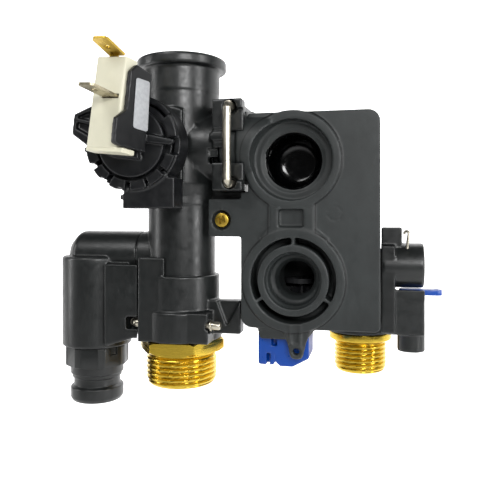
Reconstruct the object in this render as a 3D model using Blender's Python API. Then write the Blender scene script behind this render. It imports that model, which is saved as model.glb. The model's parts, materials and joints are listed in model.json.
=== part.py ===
"""Motorised three-way diverter valve with its hydraulic group, for a combination boiler.

Origin: centre of the end face of the 3/4 inch brass fitting. +X right, +Y to the rear, +Z up.
All the lengths below are in millimetres and are scaled to metres when a mesh is made.
"""
import math

import bmesh
import bpy
from mathutils import Matrix, Vector

MM = 0.001
GAP = 0.3                      # clearance between touching pieces

# Column, flange and its outlets
TUBE_R = 14.4
LOWER_TUBE_R = 12.9
BORE_R = 11.0
LOWER_BORE_R = 8.5
FLANGE_R = 16.9
FLANGE_Z = (117.6, 121.6)
COLUMN_BOTTOM_Z = 41.4
PLUG_Z = 88.0                  # height of the plug, the side branch and the motor
CHAMBER_R = 11.6
BARREL_R = 14.0
CHAMBER_Y = 14.6               # half length of the plug chamber's barrel
PLUG_R = 11.2
CAP_GROOVE_Y = 11.7

# Clip bracket and side branch
BRACKET_X = (16.0, 27.0)
BRACKET_BACK_X = 25.5          # behind the front wall, clear of the port body's ring
BRACKET_Y = (-15.0, 15.0)
BRACKET_Z = (71.7, 103.8)
CLIP_X = 22.2
CLIP_LEG = 13.8                # half distance between the legs of the cross clip
WIRE_R = 1.5
BRANCH_BORE_R = 7.0

# Motor
MOTOR_X = -9.0
RING_R = 16.8
RING_INNER_R = 14.6
RING_Y = (-26.8, -15.4)
MOTOR_ROLL = math.radians(7.0)
BLOCK_CORNER = (-19.5, -38.5, 85.3)  # front lower left corner of the terminal block
BLOCK_TURNS = (4.75, 5.2, -9.0)      # its roll, backward lean and turn, in degrees
BLOCK_WIDTH = 11.3
BLOCK_DEPTH = 5.2
BLOCK_HEIGHT = 30.1
SIDE_FLARE = 12.1              # turn of its right side and of the motor's side wall
WALL_INNER = 0.35
WALL_OUTER = 2.15
BLADE_WIDTH = 5.9
BLADE_THICK = 0.8
BLADE_TILT = 10.0
GEAR_MODULE = 0.4
PINION_TEETH = 8
WHEEL_TEETH = 24
GEAR_DISTANCE = GEAR_MODULE * (PINION_TEETH + WHEEL_TEETH) / 2

# Return housing and the 3/4 inch fitting
HOUSING_FRONT_Y = -13.6
HOUSING_Z = (17.0, 41.1)
RETURN_THREAD_R = 13.2
RETURN_HEX_R = 16.4
RETURN_BORE_R = 8.5
RETURN_CLIP_Y = 11.0
RETURN_CLIP_Z = 24.6

# Bypass branch
BYPASS_X = -35.5
BYPASS_R = 13.9
BYPASS_Z = (13.0, 47.5)
ELBOW_R = 9.0
ELBOW_Z = 48.0
SPIGOT_BOTTOM_Z = -8.7

# Port body
PLATE_X = (25.0, 74.2)
PLATE_Y = (-8.0, -4.5)
PLATE_Z = (22.7, 99.8)
SHELL_BACK_Y = 12.0
SHELL_WALL = 2.6
ARM_X0 = 12.8
ARM_Z = (55.4, 69.0)
ARM_SCREW = (17.7, 0, 61.4)
PORT_Y = -9.0
UPPER_PORT = (43.5, 82.8)
LOWER_PORT = (44.0, 40.0)
UPPER_PORT_R = 17.5
LOWER_PORT_R = 18.3
TURBINE_Y = 16.0
COLD_X = 66.0
COLD_Y = 33.0
COLD_THREAD_R = 10.45
REAR_Y = 41.0
CHANNEL_X = (40.2, 49.6)
COVER_X = (35.0, 54.4)

# Fill valve
FILL_X = 85.4
FILL_Y = 14.0
FILL_Z = 44.4


def srgb(red, green, blue):
    """Linear colour from display values between 0 and 255."""
    return tuple((value / 255.0) ** 2.2 for value in (red, green, blue)) + (1.0,)


MATERIALS = {
    "black_nylon": (srgb(58, 60, 60), 0.5, 0.0),
    "dark_plastic": (srgb(40, 41, 43), 0.45, 0.0),
    "cream_plastic": (srgb(230, 227, 204), 0.45, 0.0),
    "white_plastic": (srgb(225, 225, 220), 0.5, 0.0),
    "blue_plastic": (srgb(20, 96, 205), 0.4, 0.0),
    "brass": (srgb(214, 170, 70), 0.25, 1.0),
    "tinned_brass": (srgb(190, 184, 165), 0.3, 1.0),
    "steel": (srgb(196, 194, 186), 0.3, 1.0),
    "copper_wire": (srgb(184, 110, 62), 0.4, 1.0),
    "rubber": (srgb(28, 28, 29), 0.8, 0.0),
    "magnet": (srgb(62, 58, 58), 0.55, 0.3),
    "label": (srgb(214, 214, 214), 0.55, 0.0),
}


def material(name):
    """The named material, made once."""
    found = bpy.data.materials.get(name)
    if found:
        return found
    colour, roughness, metallic = MATERIALS[name]
    made = bpy.data.materials.new(name)
    made.use_nodes = True
    shader = made.node_tree.nodes["Principled BSDF"]
    shader.inputs["Base Color"].default_value = colour
    shader.inputs["Roughness"].default_value = roughness
    shader.inputs["Metallic"].default_value = metallic
    made.diffuse_color = colour
    return made


def frame_for(axis, centre):
    """Matrix that takes the local +Z axis to the named axis through a centre."""
    turns = {
        "x": Matrix.Rotation(math.pi / 2, 4, "Y"),
        "y": Matrix.Rotation(-math.pi / 2, 4, "X"),
        "z": Matrix.Identity(4),
    }
    return Matrix.Translation(Vector(centre)) @ turns[axis]


def make(name, builder, slot, frame=None):
    """Turn a bmesh in millimetres into an object in metres."""
    if frame is not None:
        builder.transform(frame)
    bmesh.ops.recalc_face_normals(builder, faces=builder.faces)
    builder.transform(Matrix.Scale(MM, 4))
    mesh = bpy.data.meshes.new(name)
    builder.to_mesh(mesh)
    builder.free()
    mesh.shade_smooth()
    mesh.set_sharp_from_angle(angle=math.radians(35))
    mesh.materials.append(material(slot))
    thing = bpy.data.objects.new(name, mesh)
    bpy.context.collection.objects.link(thing)
    return thing


def lathe(name, profile, slot, axis="z", centre=(0, 0, 0), steps=26):
    """Solid of revolution from a closed outline of (radius, height) points.

    The start angle depends on the size, so that the edges of nested pieces never line up.
    """
    builder = bmesh.new()
    rings = []
    start = 0.37 * max(radius for radius, height in profile)
    for radius, height in profile:
        if radius < 1e-6:
            rings.append([builder.verts.new((0, 0, height))])
            continue
        ring = []
        for step in range(steps):
            angle = start + 2 * math.pi * step / steps
            ring.append(builder.verts.new((radius * math.cos(angle), radius * math.sin(angle), height)))
        rings.append(ring)
    count = len(rings)
    for index in range(count):
        first, second = rings[index], rings[(index + 1) % count]
        if len(first) == 1 and len(second) == 1:
            continue
        for step in range(steps):
            after = (step + 1) % steps
            if len(first) == 1:
                builder.faces.new((first[0], second[step], second[after]))
            elif len(second) == 1:
                builder.faces.new((first[step], first[after], second[0]))
            else:
                builder.faces.new((first[step], first[after], second[after], second[step]))
    return make(name, builder, slot, frame_for(axis, centre))


def rod(name, radius, low, high, slot="black_nylon", axis="z", centre=(0, 0, 0), steps=26):
    """Plain cylinder between two heights along its axis."""
    return lathe(name, [(0, low), (radius, low), (radius, high), (0, high)], slot, axis, centre, steps)


def tube(name, outer, inner, low, high, slot="black_nylon", axis="z", centre=(0, 0, 0), steps=26):
    """Cylinder with a plain bore."""
    outline = [(inner, low), (outer, low), (outer, high), (inner, high)]
    return lathe(name, outline, slot, axis, centre, steps)


def ring_seal(name, radius, thickness, slot="rubber", axis="z", centre=(0, 0, 0)):
    """O-ring with a six-sided section."""
    outline = []
    for step in range(6):
        angle = step * math.pi / 3
        outline.append((radius + thickness * math.cos(angle), thickness * math.sin(angle)))
    return lathe(name, outline, slot, axis, centre, 18)


def prism(name, outline, low, high, slot="black_nylon", axis="z", centre=(0, 0, 0)):
    """Extruded outline of points across the axis."""
    builder = bmesh.new()
    bottom = [builder.verts.new((a, b, low)) for a, b in outline]
    top = [builder.verts.new((a, b, high)) for a, b in outline]
    builder.faces.new(bottom)
    builder.faces.new(top)
    count = len(outline)
    for index in range(count):
        after = (index + 1) % count
        builder.faces.new((bottom[index], bottom[after], top[after], top[index]))
    return make(name, builder, slot, frame_for(axis, centre))


def front_prism(name, outline, front, back, slot="black_nylon"):
    """Outline of (x, z) points extruded along Y from front to back."""
    flipped = [(x, -z) for x, z in outline]
    return prism(name, flipped, front, back, slot, "y")


def box(name, x, y, z, slot="black_nylon"):
    """Axis-aligned block given by its three ranges."""
    outline = [(x[0], y[0]), (x[1], y[0]), (x[1], y[1]), (x[0], y[1])]
    return prism(name, outline, z[0], z[1], slot)


def rounded(x, z, radius, steps=5):
    """Corner points of a rectangle with four round corners."""
    points = []
    centres = [(x[1] - radius, z[1] - radius, 0), (x[0] + radius, z[1] - radius, 90),
               (x[0] + radius, z[0] + radius, 180), (x[1] - radius, z[0] + radius, 270)]
    for cx, cz, start in centres:
        for step in range(steps + 1):
            angle = math.radians(start + 90 * step / steps)
            points.append((cx + radius * math.cos(angle), cz + radius * math.sin(angle)))
    return points


def combine(target, tools, operation):
    """Apply one Boolean for each tool, then remove the tools."""
    for tool in tools:
        modifier = target.modifiers.new("combine", "BOOLEAN")
        modifier.operation = operation
        modifier.object = tool
        modifier.solver = "EXACT"
        graph = bpy.context.evaluated_depsgraph_get()
        mesh = bpy.data.meshes.new_from_object(target.evaluated_get(graph))
        target.modifiers.remove(modifier)
        old = target.data
        target.data = mesh
        mesh.name = target.name
        bpy.data.meshes.remove(old)
        spent = tool.data
        bpy.data.objects.remove(tool)
        bpy.data.meshes.remove(spent)
    clean(target)
    return target


def clean(target):
    """Weld slivers left by the Booleans and keep one material."""
    builder = bmesh.new()
    builder.from_mesh(target.data)
    bmesh.ops.remove_doubles(builder, verts=builder.verts, dist=0.002 * MM)
    bmesh.ops.dissolve_limit(builder, angle_limit=math.radians(0.5), verts=builder.verts, edges=builder.edges)
    bmesh.ops.triangulate(builder, faces=builder.faces)
    builder.to_mesh(target.data)
    builder.free()
    slot = target.data.materials[0]
    target.data.materials.clear()
    target.data.materials.append(slot)
    target.data.shade_smooth()
    target.data.set_sharp_from_angle(angle=math.radians(35))


def union(target, *tools):
    """Add the tools to the target."""
    return combine(target, tools, "UNION")


def cut(target, *tools):
    """Cut the tools out of the target."""
    return combine(target, tools, "DIFFERENCE")


def wire(name, points, radius, slot="steel", sides=8):
    """Bent round wire through a few points, as a closed mesh."""
    builder = bmesh.new()
    path = [Vector(point) for point in points]
    side = None
    rings = []
    for index, here in enumerate(path):
        before = path[max(index - 1, 0)]
        after = path[min(index + 1, len(path) - 1)]
        along = (after - before).normalized()
        if side is None:
            side = along.orthogonal().normalized()
        side = (side - along * side.dot(along)).normalized()
        up = along.cross(side)
        ring = []
        for step in range(sides):
            angle = 2 * math.pi * step / sides
            ring.append(builder.verts.new(here + (side * math.cos(angle) + up * math.sin(angle)) * radius))
        rings.append(ring)
    for first, second in zip(rings, rings[1:]):
        for step in range(sides):
            after = (step + 1) % sides
            builder.faces.new((first[step], first[after], second[after], second[step]))
    builder.faces.new(rings[0])
    builder.faces.new(rings[-1])
    return make(name, builder, slot)


def u_clip(name, corner, leg_axis, half_span, length, bend, radius, slot="steel"):
    """U-shaped wire: corner is the middle of its crossbar, legs run along leg_axis from it."""
    points = []
    base = Vector(corner)
    across = Vector((0, 0, 1)) if leg_axis == "y" else Vector((0, 1, 0))
    along = Vector((0, 1, 0)) if leg_axis == "y" else Vector((1, 0, 0))
    points.append(base + across * half_span + along * length)
    for step in range(5):
        angle = math.pi / 2 * step / 4
        out, forward = half_span - bend + bend * math.cos(angle), bend - bend * math.sin(angle)
        offset = across * out + along * forward
        points.append(base + offset)
    for step in range(5):
        angle = math.pi / 2 * (1 - step / 4)
        out, forward = half_span - bend + bend * math.cos(angle), bend - bend * math.sin(angle)
        offset = -across * out + along * forward
        points.append(base + offset)
    points.append(base - across * half_span + along * length)
    return wire(name, points, radius, slot)


def coil_spring(name, radius, wire_radius, turns, low, high, slot="steel", axis="z", centre=(0, 0, 0)):
    """Compression spring with closed ends."""
    points = []
    steps = turns * 8
    turn = frame_for(axis, centre)
    for step in range(steps + 1):
        angle = 2 * math.pi * turns * step / steps
        height = low + (high - low) * step / steps
        points.append(turn @ Vector((radius * math.cos(angle), radius * math.sin(angle), height)))
    return wire(name, points, wire_radius, slot, sides=5)


def gear_outline(teeth, module, turn=0.0):
    """Outline of a spur gear with narrowed teeth that leave running clearance."""
    pitch_r = module * teeth / 2
    points = []
    step = 2 * math.pi / teeth
    for tooth in range(teeth):
        middle = tooth * step + turn
        for radius, share in ((pitch_r - 1.25 * module, 0.36), (pitch_r, 0.2), (pitch_r + 0.8 * module, 0.1)):
            points.append((radius, middle - share * step))
        for radius, share in ((pitch_r + 0.8 * module, 0.1), (pitch_r, 0.2), (pitch_r - 1.25 * module, 0.36)):
            points.append((radius, middle + share * step))
    return [(radius * math.cos(angle), radius * math.sin(angle)) for radius, angle in points]


def gear(name, teeth, module, front, back, centre, turn, slot="white_plastic"):
    """Spur gear along Y; turn is the angle of its first tooth seen from the front."""
    outline = [(x + centre[0], z + centre[1]) for x, z in gear_outline(teeth, module, turn)]
    return front_prism(name, outline, front, back, slot)


def set_origin(thing, place):
    """Move an object's origin to a place in millimetres without moving its shape."""
    shift = Vector(place) * MM
    thing.data.transform(Matrix.Translation(-shift))
    thing.location = shift
    return thing


# ---------------------------------------------------------------- left column

def diverter_body():
    """Column with its flange, plug chamber, clip bracket and branch socket."""
    z0, z1 = FLANGE_Z
    outline = [(0, COLUMN_BOTTOM_Z), (LOWER_TUBE_R, COLUMN_BOTTOM_Z), (LOWER_TUBE_R, 70.0),
               (TUBE_R, 74.0), (TUBE_R, z0), (FLANGE_R, z0), (FLANGE_R, z1), (12.4, z1),
               (12.4, z1 - 14.0), (0, z1 - 14.0)]
    body = lathe("diverter_body", outline, "black_nylon", steps=32)
    barrel = rod("barrel", BARREL_R, -CHAMBER_Y, CHAMBER_Y, axis="y", centre=(0, 0, PLUG_Z))
    bracket = box("bracket", BRACKET_X, (BRACKET_Y[0], -9.4), BRACKET_Z)
    bracket_back = box("bracket_back", (BRACKET_X[0] + 0.2, BRACKET_BACK_X), (-10.0, BRACKET_Y[1]),
                       (BRACKET_Z[0] + 0.2, BRACKET_Z[1] - 0.2))
    neck = rod("neck", 12.4, 5.0, 18.0, axis="x", centre=(0, 0, PLUG_Z))
    stub = rod("stub", ELBOW_R, -15.2, -5.0, axis="x", centre=(0, 0, ELBOW_Z), steps=24)
    rib = box("rib", (23.6, 26.6), (10.0, 24.0), (86.0, 103.2))
    union(body, barrel, neck, bracket, bracket_back, stub, rib)
    chamber = rod("chamber", CHAMBER_R, -12.4, 20.0, axis="y", centre=(0, 0, PLUG_Z))
    spindle_hole = rod("spindle_hole", 3.4, -20.0, 0.0, axis="y", centre=(0, 0, PLUG_Z), steps=16)
    bore_above = rod("bore_above", BORE_R, 89.0, z1 - 13.0, steps=32)
    bore_below = rod("bore_below", LOWER_BORE_R, 38.0, 86.0)
    branch = rod("branch", 8.6, 4.0, 18.0, axis="x", centre=(0, 0, PLUG_Z), steps=24)
    nose = rod("nose", 10.9, 13.8, 19.0, axis="x", centre=(0, 0, PLUG_Z), steps=28)
    socket = rod("socket", 13.4, 17.6, 30.0, axis="x", centre=(0, 0, PLUG_Z))
    window = box("window", (18.4, 28.0), (-16.0, 0.0), (81.6, 86.8))
    clip_holes = []
    for side in (-1, 1):
        place = (CLIP_X, 0, PLUG_Z + side * CLIP_LEG)
        clip_holes.append(rod("leg", WIRE_R + 0.35, -20.0, 20.0, axis="y", centre=place, steps=12))
        clip_holes.append(rod("mouth", 2.8, -20.0, -12.0, axis="y", centre=place, steps=16))
    elbow_bore = rod("elbow_bore", 6.0, -20.0, 0.0, axis="x", centre=(0, 0, ELBOW_Z), steps=20)
    elbow_seat = rod("elbow_seat", 8.2, -20.0, -13.4, axis="x", centre=(0, 0, ELBOW_Z), steps=20)
    cut(body, chamber, spindle_hole, bore_above, bore_below, branch, nose, socket, window, *clip_holes,
        elbow_bore, elbow_seat)
    return body


def chamber_pieces():
    """Plug with its spindle, and the cap that closes the chamber at the back."""
    outline = [(0, -15.7), (2.4, -15.7), (2.4, -11.9), (4.4, -11.9), (4.4, -9.7), (PLUG_R, -9.7),
               (PLUG_R, 9.0), (9.4, 9.0), (9.4, -7.9), (0, -7.9)]
    plug = lathe("diverter_plug", outline, "white_plastic", "y", (0, 0, PLUG_Z))
    cut(plug, box("opening", (-14.0, 6.4), (-7.5, 7.4), (PLUG_Z - 14, PLUG_Z + 14)))
    set_origin(plug, (0, 0, PLUG_Z))
    cap = [(0, 9.4), (11.0, 9.4), (11.0, 10.6), (9.6, 10.6), (9.6, 12.8), (11.0, 12.8),
           (11.0, 14.9), (12.9, 14.9), (12.9, 17.4), (0, 17.4)]
    lathe("chamber_cap", cap, "dark_plastic", "y", (0, 0, PLUG_Z))
    ring_seal("cap_seal", 10.55, 0.7, axis="y", centre=(0, CAP_GROOVE_Y, PLUG_Z))
    tube("spindle_bush", 3.1, 2.55, -13.6, -12.6, "white_plastic", "y", (0, 0, PLUG_Z), 16)


def clip_pieces():
    """Steel clip that locks the side branch, with the seal inside the socket."""
    u_clip("cross_clip", (CLIP_X, BRACKET_Y[0] - 2.3, PLUG_Z), "y", CLIP_LEG, 31.0, 3.2, WIRE_R)
    ring_seal("branch_seal", 9.6, 0.8, axis="x", centre=(15.9, 0, PLUG_Z))


# ---------------------------------------------------------------- motor

def motor_mount():
    """Base block and castellated bayonet ring that take the motor."""
    centre = (MOTOR_X, 0, PLUG_Z)
    outline = [(0, RING_Y[1]), (RING_R, RING_Y[1]), (RING_R, RING_Y[0]), (RING_INNER_R, RING_Y[0]),
               (RING_INNER_R, -16.6), (0, -16.6)]
    ring = lathe("motor_mount", outline, "dark_plastic", "y", centre, 32)
    block = box("block", (-12.9, 5.8), (-25.0, RING_Y[1] - 0.2), (65.5, 76.0))
    cut(block, rod("scoop", RING_INNER_R + 1.0, -40.0, 0.0, axis="y", centre=centre, steps=32))
    union(ring, block)
    hole = rod("hole", 3.4, -30.0, 0.0, axis="y", centre=(0, 0, PLUG_Z), steps=16)
    notches = []
    for index, start in enumerate((200, 232, 262, 292, 322)):
        low, high = math.radians(start), math.radians(start + 14)
        outline = [(MOTOR_X + radius * math.cos(angle), PLUG_Z + radius * math.sin(angle))
                   for radius, angle in ((14.0, low), (18.5, low), (18.5, high), (14.0, high))]
        notches.append(front_prism("notch", outline, -30.0, -24.2))
    cut(ring, hole, *notches)
    return ring


def rolled(thing):
    """Roll a motor piece about the motor's axis, as it is clocked in its ring."""
    pivot = Vector((MOTOR_X, 0, PLUG_Z)) * MM
    roll = Matrix.Translation(pivot) @ Matrix.Rotation(MOTOR_ROLL, 4, "Y") @ Matrix.Translation(-pivot)
    thing.data.transform(roll)
    return thing


def leaning(thing):
    """Move a piece from the terminal block's own frame, its corner at the origin, to its place."""
    roll, lean, turn = (math.radians(angle) for angle in BLOCK_TURNS)
    turned = Matrix.Rotation(turn, 4, "Z") @ Matrix.Rotation(-lean, 4, "X") @ Matrix.Rotation(roll, 4, "Y")
    thing.data.transform(Matrix.Translation(Vector(BLOCK_CORNER) * MM) @ turned)
    return thing


def side_panel(name, outline, inner, outer, slot):
    """Panel along the block's flared side, from an outline of (distance back, height)."""
    panel = prism(name, [(-z, y) for y, z in outline], inner, outer, slot, "x")
    flare = Matrix.Rotation(-math.radians(SIDE_FLARE), 4, "Z")
    panel.data.transform(Matrix.Translation(Vector((BLOCK_WIDTH, 0, 0)) * MM) @ flare)
    return leaning(panel)


def motor_shell():
    """Motor can, frame with its side wall, terminal block, terminals and label."""
    centre = (MOTOR_X, 0, PLUG_Z)
    lathe("motor_can", [(0, -24.3), (13.9, -24.3), (13.9, -20.3), (13.1, -20.3), (13.1, -23.5), (0, -23.5)],
          "dark_plastic", "y", centre, 32)
    outline = [(-13.9, 110.0), (-11.9, 112.0), (-8.0, 112.5), (-5.5, 109.5), (-5.5, 88.5), (-4.4, 82.5),
               (-13.9, 82.5), (-22.4, 84.5), (-29.9, 88.5), (-29.9, 95.5), (-22.9, 99.0), (-19.9, 99.0)]
    back = front_prism("motor_frame", outline, -30.0, -27.1, "dark_plastic")
    boss = rod("boss", 12.0, -27.6, -24.6, axis="y", centre=centre)
    rolled(back)
    outline = [(1.0, 5.6), (13.2, 5.6), (13.8, 8.0), (1.0, 8.0)]
    support = leaning(prism("support", outline, 3.0, 26.0))
    outline = [(-2.6, 1.4), (-0.7, 0.8), (11.2, 0.9), (10.2, 27.0), (3.2, 28.2), (0.8, 25.4), (1.1, 12.8),
               (-2.9, 9.3)]
    wall = side_panel("wall", outline, WALL_INNER, WALL_OUTER, "dark_plastic")
    union(back, boss, support, wall)
    outline = [(0, 0), (BLOCK_WIDTH, 0), (12.4, BLOCK_DEPTH), (0, BLOCK_DEPTH)]
    cream = prism("terminal_block", outline, 0.0, BLOCK_HEIGHT, "cream_plastic")
    outline = [(-0.3, 0.3), (11.0, 0.3), (13.4, 0.8), (14.6, 6.2), (13.2, 7.4), (-0.3, 4.9)]
    union(cream, prism("foot", outline, -1.1, 0.5))
    slot_low = box("slot_low", (3.3, 10.5), (-1.0, 4.8), (16.1, 17.9))
    slot_high = box("slot_high", (3.6, 7.4), (0.7, 2.1), (27.0, 32.0))
    leaning(cut(cream, slot_low, slot_high))
    half = BLADE_WIDTH / 2
    lower = box("terminal_lower", (6.9 - half, 6.9 + half), (-13.3, 4.5), (16.6, 16.6 + BLADE_THICK),
                "tinned_brass")
    leaning(cut(lower, rod("lower_hole", 0.9, 0.0, 30.0, centre=(6.9, -8.3, 0), steps=10)))
    upper = box("blade", (6.4 - half, 6.4 + half), (-9.8, 0.9), (0, BLADE_THICK), "brass")
    cut(upper, rod("upper_hole", 0.9, -5.0, 5.0, centre=(6.4, -5.0, 0), steps=10))
    tilt = Matrix.Rotation(-math.radians(BLADE_TILT), 4, "X")
    upper.data.transform(Matrix.Translation(Vector((0, 0.8, 31.0)) * MM) @ tilt)
    stem = box("terminal_upper", (3.9, 7.1), (1.0, 1.8), (27.4, 31.3), "brass")
    leaning(union(stem, upper))
    outline = [(3.1, 23.4), (3.6, 23.9), (8.8, 24.2), (9.3, 23.7), (11.0, 8.2), (10.5, 7.7), (4.8, 7.7),
               (4.3, 8.2)]
    side_panel("motor_label", outline, WALL_OUTER + 0.1, WALL_OUTER + 0.4, "label")


def motor_inside():
    """Stator, coil, rotor, gear train and the plate that carries its axles."""
    centre = (MOTOR_X, 0, PLUG_Z)
    tube("stator_cup", 12.8, 12.2, -23.2, -20.3, "steel", "y", centre)
    tube("stator_coil", 11.2, 7.6, -22.5, -21.0, "copper_wire", "y", centre)
    outline = [(5.6, -23.2), (11.8, -23.2), (11.8, -22.8), (7.2, -22.8), (7.2, -20.7), (11.8, -20.7),
               (11.8, -20.3), (5.6, -20.3)]
    lathe("coil_bobbin", outline, "white_plastic", "y", centre)
    lift = math.sqrt(GEAR_DISTANCE ** 2 - (MOTOR_X / 2) ** 2)
    middle = (MOTOR_X / 2, PLUG_Z - lift)
    plate = rod("gear_plate", 13.8, -19.9, -19.3, "steel", "y", centre)
    hole = rod("hole", 1.0, -30.0, 0.0, axis="y", centre=centre, steps=12)
    post = rod("post", 0.7, -19.5, -17.1, axis="y", centre=(middle[0], 0, middle[1]), steps=10)
    cut(plate, hole)
    union(plate, post)
    angle = math.atan2(-lift, -MOTOR_X / 2)
    outline = [(0, -23.1), (5.0, -23.1), (5.0, -20.4), (0.8, -20.4), (0.8, -18.8), (0, -18.8)]
    magnet = lathe("rotor", outline, "magnet", "y", centre, 20)
    union(magnet, gear("pinion", PINION_TEETH, GEAR_MODULE, -19.0, -18.2, (MOTOR_X, PLUG_Z), angle))
    set_origin(magnet, centre)
    facing_gap = math.pi + math.pi / WHEEL_TEETH
    wheel = gear("compound_gear", WHEEL_TEETH, GEAR_MODULE, -19.0, -18.2, middle, angle + facing_gap)
    out_angle = math.atan2(lift, -MOTOR_X / 2)
    small = gear("small", PINION_TEETH, GEAR_MODULE, -18.4, -17.2, middle, out_angle)
    union(wheel, small)
    cut(wheel, rod("bore", 0.9, -30.0, 0.0, axis="y", centre=(middle[0], 0, middle[1]), steps=12))
    set_origin(wheel, (middle[0], 0, middle[1]))
    output = gear("output_gear", WHEEL_TEETH, GEAR_MODULE, -17.9, -17.1, (0, PLUG_Z), out_angle + facing_gap)
    hub = rod("hub", 2.3, -17.3, -16.0, axis="y", centre=(0, 0, PLUG_Z), steps=16)
    union(output, hub)
    set_origin(output, (0, 0, PLUG_Z))


# ---------------------------------------------------------------- lower left

def return_housing():
    """Flat-fronted block round the 3/4 inch fitting, with the arm to the port body."""
    z0, z1 = HOUSING_Z
    body = lathe("return_housing", [(9.0, z0), (13.3, z0), (13.3, z1), (9.0, z1)], "black_nylon", steps=30)
    block = box("block", (-12.4, 14.2), (HOUSING_FRONT_Y, 13.6), (z0, 28.0))
    ear = box("ear", (-12.2, -2.0), (HOUSING_FRONT_Y, -9.4), (27.0, z1 + 5.0))
    arm = box("arm", (13.0, 24.6), (-7.0, -1.0), (20.0, 32.0))
    union(body, block, ear, arm)
    pocket = rod("pocket", 12.2, 16.0, 28.6)
    riser = rod("riser", 9.0, 28.0, 50.0)
    seat = rod("seat", LOWER_TUBE_R + GAP, z1 - 0.2, z1 + 8.0)
    clip_places = [(0, side * RETURN_CLIP_Y, RETURN_CLIP_Z) for side in (-1, 1)]
    slots = [rod("slot", 1.75, -20.0, 20.0, axis="x", centre=place, steps=12) for place in clip_places]
    relief = rod("relief", ELBOW_R + 0.4, -20.0, -4.0, axis="x", centre=(0, 0, ELBOW_Z))
    cut(body, pocket, riser, seat, relief, *slots)
    return body


def return_fitting():
    """Brass 3/4 inch fitting: thread, hexagon and spigot."""
    outline = [(RETURN_BORE_R, 0.0), (12.2, 0.0), (RETURN_THREAD_R, 1.0), (RETURN_THREAD_R, 10.6),
               (12.0, 11.4), (12.0, 12.4), (RETURN_HEX_R, 12.4), (RETURN_HEX_R, 16.7), (11.8, 16.7),
               (11.8, 20.4), (10.2, 20.4), (10.2, 22.6), (11.8, 22.6), (11.8, 22.9), (9.3, 22.9),
               (9.3, 26.4), (11.8, 26.4), (11.8, 28.2), (RETURN_BORE_R, 28.2)]
    lathe("return_fitting", outline, "brass", steps=30)
    ring_seal("return_seal", 11.15, 0.7, centre=(0, 0, 21.5))
    u_clip("return_clip", (-15.4, 0, RETURN_CLIP_Z), "x", RETURN_CLIP_Y, 33.2, 3.0, 1.3)


def bypass_branch():
    """Elbow and cylinder of the bypass with its check valve and spigot."""
    z0, z1 = BYPASS_Z
    centre = (BYPASS_X, 0, 0)
    outline = [(0, z0), (BYPASS_R, z0), (BYPASS_R, z1 - 1.0), (BYPASS_R - 1.0, z1), (0, z1)]
    body = lathe("bypass_housing", outline, "black_nylon", centre=centre, steps=32)
    outline = [(0, -43.6), (4.5, -43.6), (7.7, -42.3), (ELBOW_R, -39.0), (ELBOW_R, -15.5), (0, -15.5)]
    elbow = lathe("elbow", outline, "black_nylon", "x", (0, 0, ELBOW_Z), 28)
    web = box("web", (-24.0, -15.6), (-6.0, 6.0), (18.5, 44.0))
    foot = box("foot", (-16.0, -13.8), (-5.8, 5.8), (19.0, 37.5))
    sleeve = rod("sleeve", 7.9, -16.0, -13.8, axis="x", centre=(0, 0, ELBOW_Z), steps=24)
    union(body, elbow, web, foot, sleeve)
    hollow = rod("hollow", 10.6, 8.0, 42.0, centre=centre)
    riser = rod("riser", 5.6, 40.0, 48.0, centre=centre, steps=20)
    along = rod("along", 5.6, BYPASS_X - 1.0, 0.0, axis="x", centre=(0, 0, ELBOW_Z), steps=20)
    clip_room = box("clip_room", (-17.6, -13.0), (-7.0, 7.0), (22.6, 26.6))
    cut(body, hollow, riser, along, clip_room)
    spigot = [(6.4, SPIGOT_BOTTOM_Z), (10.0, SPIGOT_BOTTOM_Z), (10.8, -7.4), (10.8, -4.4), (9.5, -2.6),
              (9.5, 0.2), (10.8, 0.2), (10.8, 5.0), (12.8, 5.0), (12.8, 12.7), (10.2, 12.7), (10.2, 14.6),
              (8.8, 14.6), (8.8, 16.8), (10.2, 16.8), (10.2, 19.0), (6.4, 19.0)]
    lathe("bypass_spigot", spigot, "black_nylon", centre=centre, steps=30)
    ring_seal("spigot_seal", 9.75, 0.7, centre=(BYPASS_X, 0, 15.7))
    coil_spring("bypass_spring", 6.6, 0.5, 6, 22.4, 35.2, centre=centre)
    outline = [(0, 19.4), (8.6, 19.4), (8.6, 21.6), (2.6, 21.6), (2.6, 33.0), (0, 33.0)]
    poppet = lathe("bypass_poppet", outline, "white_plastic", centre=centre, steps=24)
    set_origin(poppet, (BYPASS_X, 0, 19.4))
    lathe("spring_stop", [(3.2, 36.0), (10.2, 36.0), (10.2, 38.4), (3.2, 38.4)], "white_plastic",
          centre=centre, steps=24)


# ---------------------------------------------------------------- port body

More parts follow.
